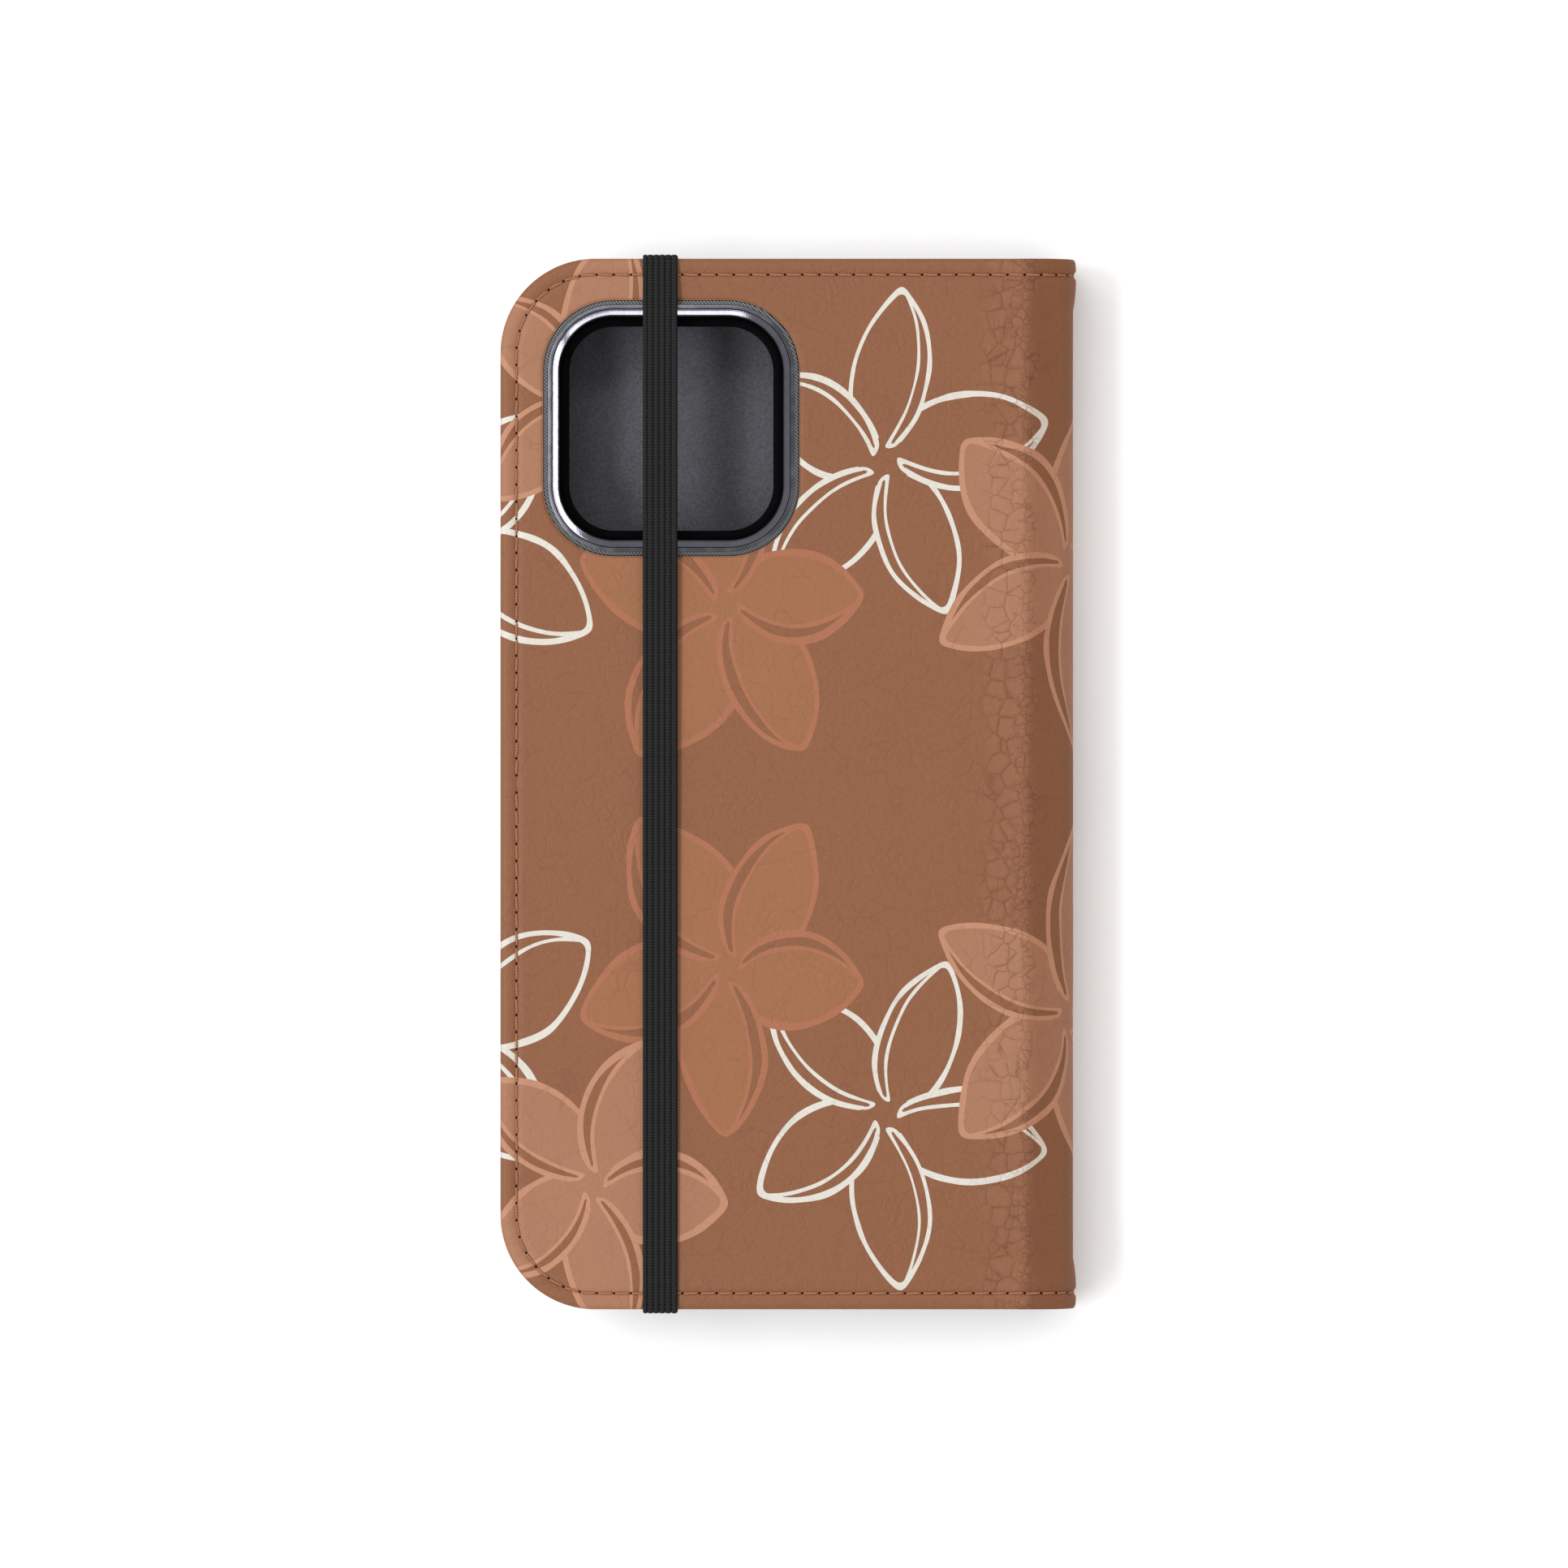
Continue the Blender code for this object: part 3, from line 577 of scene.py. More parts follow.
def polished_material():
    """The same metal, polished: dark where it mirrors the room and white where it meets the lamp."""
    mat, n = new_material("polished_edge", Metallic=1.0)
    place = object_space(n)
    haze = n.noise(place, 1.5, 3.0)[0]
    scratch = n.noise(n.vector("MULTIPLY", place, (8.0, 1.0, 1.0)), 1.0, 2.0)[0]
    n.shade(Base_Color=n.mix(haze, srgb(86, 86, 93), srgb(104, 104, 112)),
            Roughness=n.ramp(scratch, 0.3, 0.7, 0.08, 0.14), Normal=n.bump(scratch, 0.004))
    return mat


# ---------------------------------------------------------------- geometry helpers

CORNERS = ((1, 1), (-1, 1), (-1, -1), (1, -1))


def wrap(u, v, h, front):
    """Skin coordinates and height over the outer face, as positions on the case (n x 3, mm)."""
    u, v, h = np.broadcast_arrays(np.asarray(u, float), np.asarray(v, float), np.asarray(h, float))
    phi = np.clip(u, 0, ARC_LENGTH) / SPINE_R
    beyond = np.clip(u - ARC_LENGTH, 0, None)
    x = ARC_X + np.minimum(u, 0) + (SPINE_R + h) * np.sin(phi)
    z = TOP - SPINE_R + (SPINE_R + h) * np.cos(phi) - beyond
    if front:
        z = TOP - z
    return np.stack([x, v, z], axis=-1)


def smooth(value, low, high):
    """Smooth step from 0 at low to 1 at high."""
    t = np.clip((value - low) / (high - low), 0, 1)
    return t * t * (3 - 2 * t)


def inset_of(u, v, edge_u, half_y, radius):
    """How far a point lies inside the panel's edge; the two open corners are round."""
    a = u - edge_u
    b = half_y - np.abs(v)
    corner = radius - np.hypot(radius - a, radius - b)
    return np.where((a < radius) & (b < radius), corner, np.minimum(a, b))


def window_distance(u, v):
    """How far a point lies outside the bezel's rounded square."""
    qx = np.abs(u + ARC_X - WINDOW[0]) - (WINDOW_HALF - WINDOW_R)
    qy = np.abs(v - WINDOW[1]) - (WINDOW_HALF - WINDOW_R)
    outside = np.hypot(np.maximum(qx, 0), np.maximum(qy, 0))
    return outside + np.minimum(np.maximum(qx, qy), 0) - WINDOW_R


def arc(centre, radius, start, steps):
    """Points of a quarter turn from a start angle, without its last one."""
    angles = start + np.arange(steps) / steps * math.pi / 2
    return [(centre[0] + radius * math.cos(t), centre[1] + radius * math.sin(t)) for t in angles]


def edge_route(inset, edge_u, half_y, radius, step):
    """Points at an inset round the open side, from the spine's top end to its bottom end."""
    run = np.linspace(U_MID, edge_u + radius, max(int((U_MID - edge_u - radius) / step), 2))
    down = np.linspace(half_y - radius, 0, max(int((half_y - radius) / step), 2))
    turn = arc((edge_u + radius, half_y - radius), radius - inset, math.pi / 2,
               max(int(radius * math.pi / 2 / step), 4))
    upper = [(u, half_y - inset) for u in run[:-1]] + turn + [(edge_u + inset, v) for v in down[:-1]]
    lower = [(u, -v) for u, v in reversed(upper)]
    return np.array(upper + [(edge_u + inset, 0.0)] + lower)


def seam_coordinates(u, v):
    """Distance along the seam from the spine's middle, and distance across it."""
    across = inset_of(u, v, U_LEFT, HALF_Y, CORNER_R) - SEAM_INSET
    side = HALF_Y - CORNER_R
    a = CORNER_R - (u - U_LEFT)
    b = CORNER_R - (HALF_Y - np.abs(v))
    turn = np.arctan2(np.maximum(a, 0), np.maximum(b, 1e-9)) / (math.pi / 2)
    along = np.where(
        (a > 0) & (b > 0), SEAM_RUN + turn * CORNER_ARC,
        np.where(u - U_LEFT > HALF_Y - np.abs(v), U_MID - u,
                 SEAM_RUN + CORNER_ARC + side - np.abs(v)))
    return along, across


def seam_point(along, across):
    """Skin coordinates of a place on the seam of the upper half (v > 0)."""
    if along <= SEAM_RUN:
        return U_MID - along, HALF_Y - SEAM_INSET - across
    if along <= SEAM_RUN + CORNER_ARC:
        angle = math.pi / 2 * (1 + (along - SEAM_RUN) / CORNER_ARC)
        radius = CORNER_R - SEAM_INSET - across
        return (U_LEFT + CORNER_R + radius * math.cos(angle),
                HALF_Y - CORNER_R + radius * math.sin(angle))
    return U_LEFT + SEAM_INSET + across, HALF_Y - CORNER_R - (along - SEAM_RUN - CORNER_ARC)


SMOOTH_ANGLE = 38


def mesh_object(name, verts_mm, faces, mat, smooth_angle=SMOOTH_ANGLE):
    """An object from positions in millimetres, shaded smooth up to an angle."""
    mesh = bpy.data.meshes.new(name)
    mesh.from_pydata((np.asarray(verts_mm, float) * MM).tolist(), [], [list(f) for f in faces])
    mesh.validate()
    mesh.materials.append(mat)
    bm = bmesh.new()
    bm.from_mesh(mesh)
    bmesh.ops.recalc_face_normals(bm, faces=bm.faces)
    bm.to_mesh(mesh)
    bm.free()
    mesh.shade_smooth()
    mesh.set_sharp_from_angle(angle=math.radians(smooth_angle))
    obj = bpy.data.objects.new(name, mesh)
    bpy.context.scene.collection.objects.link(obj)
    return obj


def loop_faces(rows, size, ring=False):
    """Quads between point loops of equal size; a ring also joins the last loop to the first."""
    faces = []
    for k in range(rows if ring else rows - 1):
        low, high = k * size, (k + 1) % rows * size
        for i in range(size):
            j = (i + 1) % size
            faces.append((low + i, low + j, high + j, high + i))
    return faces


def end_faces(rows, size):
    """The two faces that close the first and the last loop."""
    return [tuple(range(size))[::-1], tuple((rows - 1) * size + i for i in range(size))]


def store(obj, name, values):
    """Keep a vector per vertex, for the material to read."""
    attribute = obj.data.attributes.new(name, "FLOAT_VECTOR", "POINT")
    attribute.data.foreach_set("vector", np.asarray(values, np.float32).ravel())


def noise_field(u, v, size, seed):
    """Smooth noise over the skin, about -1 to 1, with features of a given size."""
    return np.array([noise.noise(Vector((a / size, b / size, seed))) for a, b in zip(u, v)])


# ---------------------------------------------------------------- leather and lining panels

def triangulate(loops, fill, keep):
    """Constrained triangulation of closed or open point loops plus loose points."""
    points, edges = [], []
    for loop, closed in loops:
        first = len(points)
        points += [tuple(p) for p in loop]
        count = len(loop)
        edges += [(first + i, first + i + 1) for i in range(count - 1)]
        if closed:
            edges.append((first + count - 1, first))
    points += [tuple(p) for p in fill]
    flat = [Vector(p) for p in points]
    made = geometry.delaunay_2d_cdt(flat, edges, [], 0, 1e-5)
    verts = np.array([(p.x, p.y) for p in made[0]])
    faces = [f for f in made[2] if keep(verts[list(f)].mean(axis=0))]
    used = sorted({i for f in faces for i in f})
    index = {old: new for new, old in enumerate(used)}
    return verts[used], [[index[i] for i in f] for f in faces]


def boundary_edges(faces):
    """Directed edges that belong to one face only."""
    seen = {}
    for face in faces:
        for i, a in enumerate(face):
            b = face[(i + 1) % len(face)]
            if (b, a) in seen:
                del seen[(b, a)]
            else:
                seen[(a, b)] = True
    return list(seen)


# The grid is finer from here to the spine
FINE_GRID_U = -14.0


def panel_mesh(edge_u, half_y, radius, insets, step, grid, hole_steps):
    """Flat skin mesh of one panel: rows along its edge, a grid inside, an optional window."""
    rows = [edge_route(inset, edge_u, half_y, radius, step) for inset in insets]
    loops = [(rows[0], True)] + [(row, False) for row in rows[1:]]
    loops += [(window_loop(distance), True) for distance in hole_steps]
    margin = insets[-1] + grid * 0.55
    us = np.concatenate([np.arange(edge_u, FINE_GRID_U, grid),
                         np.arange(FINE_GRID_U, U_MID, grid * 0.55)])
    vs = np.linspace(-half_y, half_y, int(2 * half_y / grid) | 1)
    gu, gv = [a.ravel() for a in np.meshgrid(us, vs)]
    ok = inset_of(gu, gv, edge_u, half_y, radius) > margin
    ok &= gu < U_MID - grid * 0.3
    if hole_steps:
        ok &= window_distance(gu, gv) > hole_steps[-1] + grid * 0.5
    fill = list(zip(gu[ok], gv[ok])) + [(U_MID, v) for v in vs if abs(v) < half_y - margin]

    def keep(centre):
        if inset_of(centre[0], centre[1], edge_u, half_y, radius) < -1e-3:
            return False
        return not hole_steps or window_distance(centre[0], centre[1]) > hole_steps[0]

    return triangulate(loops, fill, keep)


def window_loop(distance):
    """The window's rounded square, grown by a distance, in skin coordinates."""
    half = WINDOW_HALF - WINDOW_R
    points = []
    for quarter, (sx, sy) in enumerate(CORNERS):
        start = math.pi / 2 * quarter
        centre = (WINDOW[0] - ARC_X + sx * half, WINDOW[1] + sy * half)
        points += arc(centre, WINDOW_R + distance, start, 24)
        end = np.array(arc(centre, WINDOW_R + distance, start + math.pi / 2, 1)[0])
        run = np.array([-math.cos(start), -math.sin(start)]) * 2 * half
        points += [tuple(end + run * i / 12) for i in range(12)]
    return np.array(points)


def closed_sheet(name, verts, faces, upper, lower, front, mat):
    """Close a skin mesh between two heights: outer face, inner face and the walls between."""
    count = len(verts)
    u, v = verts.T
    quads = [(a, b, b + count, a + count) for a, b in boundary_edges(faces)]
    shell = [tuple(f) for f in faces] + [tuple(i + count for i in reversed(f)) for f in faces]
    points = np.vstack([wrap(u, v, upper, front), wrap(u, v, lower, front)])
    obj = mesh_object(name, points, shell + quads, mat)
    skin = np.column_stack([2 * U_MID - u if front else u, v, np.zeros(count)])
    store(obj, "skin", np.vstack([skin, skin]))
    return obj


LEATHER_ROWS = [0.0, 0.05, 0.16, 0.34, 0.56, 0.85, 1.0, 1.06, 1.45, 1.8, 2.08, 2.26, 2.4, 2.54,
                2.72, 3.0, 3.5]
WINDOW_ROWS = [0.08, 0.12, 0.2, 0.32, 0.52, 0.95]
GROOVE_DEPTH = 0.12
PUCKER_DEPTH = 0.06
END_BULGE = 0.40
# Stands for a distance to a seam or an edge that is nowhere near
FAR = 9.0


def leather_heights(u, v, front):
    """Heights of the leather's outer and inner faces over the nominal outer face."""
    inset = inset_of(u, v, U_LEFT, HALF_Y, CORNER_R)
    along, across = seam_coordinates(u, v)
    flat = 1 - smooth(u, -1.6, -0.6)
    edge_t = LEATHER_T + (RIM_T - LEATHER_T) * flat
    notch = (np.abs(u + ARC_X - BAND_X) < BAND_HALF + 0.3) & (np.abs(v) > HALF_Y - 3.4) & front
    edge_t = np.where(notch, LEATHER_T, edge_t)
    roll = 1 - np.sqrt(np.clip(1 - np.clip(1 - inset / 0.85, 0, 1) ** 2, 0, 1))
    upper = -roll * edge_t * 0.5
    near = np.exp(-(across / 0.42) ** 2)
    upper -= GROOVE_DEPTH * near
    upper -= PUCKER_DEPTH * near * (0.5 + 0.5 * np.cos(along * math.tau / STITCH_PITCH)) ** 2
    upper += 0.05 * np.exp(-((np.abs(across) - 0.95) / 0.45) ** 2)
    upper += 0.035 * noise_field(u, v, 16.0, 3.0) * smooth(inset, 0.5, 4.0)
    upper += 0.02 * noise_field(u, v, 5.0, 8.0) * smooth(inset, 0.5, 4.0)
    spine = smooth(u, 0.5, 5.0)
    end = smooth(np.abs(v), 70.6, 72.4) * (1 - smooth(np.abs(v), 77.2, 77.7) * 0.1)
    slot = np.exp(-((np.abs(v) - (HALF_Y - SEAM_INSET)) / 0.35) ** 2)
    upper += spine * (END_BULGE * end - 0.30 * slot)
    inner_t = np.where(inset < 1.03, edge_t, LEATHER_T)
    inner_roll = roll * edge_t * 0.42
    return upper, -inner_t + inner_roll


def build_leather(name, front, mat):
    """One leather skin: a panel and half of the spine; the back one has the camera window."""
    hole = [] if front else WINDOW_ROWS
    verts, faces = panel_mesh(U_LEFT, HALF_Y, CORNER_R, LEATHER_ROWS, step=STITCH_PITCH / 4,
                              grid=1.5, hole_steps=hole)
    u, v = verts.T
    upper, lower = leather_heights(u, v, front)
    window = np.full(len(u), FAR)
    if not front:
        window = window_distance(u, v) - WINDOW_ROWS[0]
        upper -= 0.22 * (1 - smooth(window, 0.0, 0.4)) ** 2
        upper += 0.06 * np.exp(-((window - 0.8) / 0.4) ** 2)
    obj = closed_sheet(name, verts, faces, upper, lower, front, mat)
    along, across = seam_coordinates(u, v)
    inset = inset_of(u, v, U_LEFT, HALF_Y, CORNER_R)
    zero = np.zeros(len(u))
    far = zero + FAR
    store(obj, "seam", np.vstack([np.column_stack([along, across, zero]),
                                  np.column_stack([zero, far, zero])]))
    store(obj, "trim", np.vstack([np.column_stack([inset, window, zero]),
                                  np.column_stack([far, far, zero + 1])]))
    return obj


def crease_blend(obj, front):
    """Bake a skin piece's placement into its mesh."""
    places = [tuple(wrap(u, 0.0, 0.0, front) * MM) for u in (0.0, ARC_LENGTH)]
    if front:
        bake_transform(obj)
    else:
        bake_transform(obj)


LINING_ROWS = [0.0, 0.06, 0.18, 0.4, 0.9, 1.6]
LINING_INSET = 0.6


def lining_depth(u):
    """Depth of the lining's glued face: over the board's end it steps down to the leather."""
    thin = LEATHER_T + GLUE
    return thin + (LINING_DEPTH - thin) * (1 - smooth(u, -1.2, 0.9))


def build_lining(name, front, mat):
    """The lining: flat over its board, stepping down to the leather in the spine."""
    hole = [] if front else [0.25, 0.6]
    edge_u = U_LEFT + LINING_INSET
    half_y = HALF_Y - LINING_INSET
    radius = CORNER_R - LINING_INSET
    verts, faces = panel_mesh(edge_u, half_y, radius, LINING_ROWS, step=1.6, grid=2.6,
                              hole_steps=hole)
    u, v = verts.T
    inset = inset_of(u, v, edge_u, half_y, radius)
    depth = lining_depth(u)
    roll = 1 - np.sqrt(np.clip(1 - np.clip(1 - inset / 0.3, 0, 1) ** 2, 0, 1))
    sag = 0.03 * noise_field(u, v, 9.0, 21.0) * smooth(inset, 0.4, 3.0)
    outer = -depth - roll * LINING_T * 0.4
    inner = -depth - LINING_T + roll * LINING_T * 0.5 + np.minimum(sag, 0.0)
    obj = closed_sheet(name, verts, faces, outer, inner, front, mat)
    return obj


# ---------------------------------------------------------------- stitches

THREAD_R = 0.17
STITCH_GAP = 0.24
STITCH_RINGS = 9
STITCH_SIDES = 8


def stitch_tube(start, end, to_surface, radius=THREAD_R, lift=0.02, dip=0.42):
    """One stitch between two holes: rises out of one, lies on the leather and dips into the next.

    to_surface turns (along, across, height) arrays into positions.
    """
    t = np.linspace(0, 1, STITCH_RINGS)
    hump = 1 - np.abs(2 * t - 1) ** 5
    height = lift - dip + dip * hump
    thick = radius * (0.72 + 0.28 * hump)
    slant = 0.05 * np.cos(math.pi * t)
    angle = np.arange(STITCH_SIDES) * math.tau / STITCH_SIDES
    along = np.repeat(start + (end - start) * (0.5 - 0.47 * np.cos(math.pi * t)), STITCH_SIDES)
    across = (slant[:, None] + thick[:, None] * np.cos(angle)[None, :]).ravel()
    up = (height[:, None] + thick[:, None] * 0.85 * np.sin(angle)[None, :]).ravel()
    faces = loop_faces(STITCH_RINGS, STITCH_SIDES) + end_faces(STITCH_RINGS, STITCH_SIDES)
    ply = np.stack([along, np.tile(angle, STITCH_RINGS), np.zeros(len(along))], axis=1)
    return to_surface(along, across, up), faces, ply


def gather(parts):
    """Join (positions, faces, ply) parts into one set."""
    verts, faces, plies, first = [], [], [], 0
    for points, part_faces, ply in parts:
        verts.append(points)
        plies.append(ply)
        faces += [tuple(i + first for i in face) for face in part_faces]
        first += len(points)
    return np.vstack(verts), faces, np.vstack(plies)


def stitches_object(name, parts, mat):
    """One object from many stitches."""
    verts, faces, ply = gather(parts)
    obj = mesh_object(name, verts, faces, mat, smooth_angle=60)
    store(obj, "ply", ply)
    store(obj, "skin", verts)
    return obj


def perimeter_stitches(name, front, mat):
    """Stitches round the open edges and the spine's ends, on the leather and on the lining."""
    half_length = SEAM_RUN + CORNER_ARC + HALF_Y - CORNER_R
    parts = []

    def on_skin(sign, inside):
        def to_surface(along, across, up):
            points = np.array([seam_point(a, c) for a, c in zip(along, across)])
            u = points[:, 0]
            if inside:
                height = -lining_depth(u) - LINING_T - up
            else:
                height = up + 0.1 - GROOVE_DEPTH + 0.1 * END_BULGE * smooth(u, 0.5, 5.0)
            return wrap(u, points[:, 1] * sign, height, front)
        return to_surface

    for k in range(int(half_length / STITCH_PITCH)):
        start = k * STITCH_PITCH + STITCH_GAP / 2
        end = start + STITCH_PITCH - STITCH_GAP
        for sign in (1, -1):
            parts.append(stitch_tube(start, end, on_skin(sign, False)))
            parts.append(stitch_tube(start, end, on_skin(sign, True), dip=0.3))
    return stitches_object(name, parts, mat)


def straight_stitches(start, end, z):
    """Stitches from one XY point towards another, on a face that looks up."""
    start, end = np.array(start), np.array(end)
    length = np.linalg.norm(end - start)
    ahead = (end - start) / length
    aside = np.array([-ahead[1], ahead[0]])

    def to_surface(along, across, up):
        flat = start + along[:, None] * ahead + across[:, None] * aside
        return np.column_stack([flat, z + up])

    starts = [k * STITCH_PITCH + STITCH_GAP / 2 for k in range(int(length / STITCH_PITCH))]
    return [stitch_tube(first, first + STITCH_PITCH - STITCH_GAP, to_surface, radius=0.14, lift=0.1,
                        dip=0.2) for first in starts]


# ---------------------------------------------------------------- elastic band

BAND_X = (BAND_LOW[0] + BAND_HIGH[0]) / 2
BAND_HALF = (BAND_HIGH[0] - BAND_LOW[0]) / 2
BAND_T = 0.5
RIB_HEIGHT = 0.11
RIB_VALLEYS = (0.0, 0.68, 1.56, 2.43, 3.31, 4.19, 5.16)
RIB_STEPS = 9


def rounded_route(corners, radii, step):
    """A 2-D route with rounded corners, resampled at even steps."""
    points = [Vector(corners[0])]
    for before, corner, after, radius in zip(corners, corners[1:], corners[2:], radii):
        here = Vector(corner)
        into = (here - Vector(before)).normalized()
        out = (Vector(after) - here).normalized()
        half = into.angle(out) / 2
        reach = radius * math.tan(half)
        for i in range(9):
            t = i / 8
            a = here - into * reach * (1 - t)
            b = here + out * reach * t
            points.append(a.lerp(b, t))
    points.append(Vector(corners[-1]))
    flat = np.array([tuple(p) for p in points])
    gaps = np.hypot(*np.diff(flat, axis=0).T)
    run = np.concatenate([[0], np.cumsum(gaps)])
    even = np.linspace(0, run[-1], int(run[-1] / step) + 1)
    return np.stack([np.interp(even, run, flat[:, 0]), np.interp(even, run, flat[:, 1])], axis=1), even


def band_section():
    """Cross-section of the elastic: (x, height, place across the rib, rib height 0 to 1)."""
    outer = []
    for low, high in zip(RIB_VALLEYS, RIB_VALLEYS[1:]):
        for i in range(RIB_STEPS):
            t = i / (RIB_STEPS - 1)
            swell = math.sin(math.pi * t) ** 0.6
            x = low + (high - low) * (0.02 + 0.96 * t) - BAND_HALF
            edge = max(abs(x) / BAND_HALF - 0.9, 0) / 0.1
            outer.append((x, BAND_T - RIB_HEIGHT * (1 - swell) - 0.1 * edge, t, swell))
    inner = [(BAND_HALF * 0.98, 0.06), (BAND_HALF * 0.5, 0.0), (-BAND_HALF * 0.5, 0.0),
             (-BAND_HALF * 0.98, 0.06)]
    return outer + [(x, height, 0.5, 0.6) for x, height in inner]


def build_band(mat):
    """The elastic follows its taut route: out of the cover's edge, up, over the back and down."""
    near = HALF_Y + 0.1
    deep = HALF_Y - 3.2
    sewn_z = box_mm("band_end_upper")[0][2] + BAND_T
    over_edge = TOP + 0.18
    over_bezel = BAND_HIGH[2] - BAND_T
    high = BEZEL_HIGH[1]
    low = BEZEL_LOW[1]
    corners = [(deep, sewn_z), (near, sewn_z), (near, over_edge), (high, over_bezel),
               (low, over_bezel), (-near, over_edge), (-near, sewn_z), (-deep, sewn_z)]
    route, run = rounded_route(corners, (0.35, 0.5, 3.0, 8.0, 0.5, 0.35), 0.5)
    ahead = np.gradient(route, axis=0)
    ahead /= np.linalg.norm(ahead, axis=1)[:, None]
    normal = np.stack([ahead[:, 1], -ahead[:, 0]], axis=1)
    if normal[len(normal) // 2][1] < 0:
        normal = -normal
    section = band_section()
    verts, weave = [], []
    for (y, z), (ny, nz), s in zip(route, normal, run):
        for x, height, across, rib in section:
            verts.append((BAND_X + x, y + ny * height, z + nz * height))
            weave.append((across, s, rib))
    faces = loop_faces(len(route), len(section)) + end_faces(len(route), len(section))
    obj = mesh_object("band_webbing", verts, faces, mat, smooth_angle=50)
    store(obj, "weave", weave)
    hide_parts("elastic_band", "band_end_upper", "band_end_lower")
    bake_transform(obj)


# ---------------------------------------------------------------- collar, shell, buttons and pockets

def square_loop(cx, cy, half_x, half_y, radius, steps):
    """A rounded rectangle, counter-clockwise."""
    points = []
    for quarter, (sx, sy) in enumerate(CORNERS):
        centre = (cx + sx * (half_x - radius), cy + sy * (half_y - radius))
        start = math.pi / 2 * quarter
        points += arc(centre, radius, start, steps) + arc(centre, radius, start + math.pi / 2, 1)
    return points


PLANES = {"XY": (0, 1, 2), "YZ": (1, 2, 0), "XZ": (0, 2, 1)}


def slab_loops(plane, centre, half, radius, levels, steps=8):
    """Rounded rectangles at (inset, level) pairs, level being measured along the third axis."""
    a, b, c = PLANES[plane]
    loops = []
    for inset, level in levels:
        flat = square_loop(*centre, half[0] - inset, half[1] - inset, max(radius - inset, 0.05), steps)
        loop = np.empty((len(flat), 3))
        loop[:, (a, b)] = flat
        loop[:, c] = level
        loops.append(loop)
    return loops


def solid_mesh(loops):
    """Vertices and faces of a solid from equal-length point loops."""
    rows, size = len(loops), len(loops[0])
    return np.vstack(loops), loop_faces(rows, size) + end_faces(rows, size)


def finish_piece(obj, slot, body, *nodes):
    """Attach a rigid piece to its body and hide the CAD nodes that it replaces; the slot is not used."""
    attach(obj, body)
    if nodes:
        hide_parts(*nodes)


# Collar profiles: inset from its outside, and depth under its crest
RING_PROFILE = ((0.0, 0.80), (0.03, 0.72), (0.08, 0.68), (0.12, 0.67), (0.56, 0.56), (0.60, 0.57),
                (0.64, 0.57), (0.68, 0.54), (0.72, 0.53), (1.14, 0.42), (1.18, 0.42), (1.22, 0.48))
EDGE_PROFILE = ((1.27, 0.42), (1.30, 0.36), (1.36, 0.33), (1.44, 0.32), (1.47, 0.30), (1.50, 0.29),
                (2.02, 0.138), (2.06, 0.126), (2.09, 0.07), (2.11, 0.01), (2.14, 0.0), (2.17, 0.02),
                (2.21, 0.06), (2.25, 0.14), (2.28, 0.32), (2.31, 0.42), (2.35, 0.6))
COLLAR_STEPS = 20


def collar_piece(name, profile, mat):
    """A closed profile swept round the window, down to the collar's foot."""
    levels = [(inset, BEZEL_HIGH[2] - depth) for inset, depth in profile]
    levels = [(profile[0][0], BEZEL_LOW[2])] + levels + [(profile[-1][0], BEZEL_LOW[2])]
    loops = slab_loops("XY", WINDOW[:2], (WINDOW_HALF, WINDOW_HALF), WINDOW_R, levels, COLLAR_STEPS)
    faces = loop_faces(len(loops), len(loops[0]), ring=True)
    return mesh_object(name, np.vstack(loops), faces, mat)


def build_bezel(grey, polished):
    """The collar ring and its polished edge, as two rings that meet in a fine groove."""
    ring = collar_piece("collar_ring", RING_PROFILE, grey)
    edge = collar_piece("collar_polished_edge", EDGE_PROFILE, polished)
    finish_piece(ring, "bezel_metal", "back_panel", "camera_bezel")
    finish_piece(edge, "bezel_metal", "back_panel")


def annulus(outer, inner):
    """Triangles between two closed XY loops, as indices into outer then inner."""
    points = [Vector(p[:2]) for p in np.vstack([outer, inner])]
    count = len(outer)
    edges = [(i, (i + 1) % count) for i in range(count)]
    edges += [(count + i, count + j) for i, j in edges]
    made = geometry.delaunay_2d_cdt(points, edges, [], 1, 1e-6)
    source = [origin[0] for origin in made[3]]
    faces = [tuple(source[i] for i in face) for face in made[2]]
    return [face for face in faces if not all(i >= count for i in face)]


def cut(obj, cutters):
    """Subtract the cutters and keep the result as the object's own mesh."""
    for tool in cutters:
        modifier = obj.modifiers.new("cut", "BOOLEAN")
        modifier.object = tool
        modifier.solver = "EXACT"
    bpy.context.view_layer.update()
    evaluated = obj.evaluated_get(bpy.context.evaluated_depsgraph_get())
    mesh = bpy.data.meshes.new_from_object(evaluated)
    obj.modifiers.clear()
    obj.data = mesh
    mesh.shade_smooth()
    mesh.set_sharp_from_angle(angle=math.radians(SMOOTH_ANGLE))
    for tool in cutters:
        bpy.data.objects.remove(tool)


SHELL_WALL = 1.5
SHELL_LIP = 0.9
SHELL_CORNER_R = 11.5
SHELL_FLOOR = 1.2
COLLAR_WALL = 2.35
WINDOW_LEDGE = 1.4
SHELL_STEPS = 12


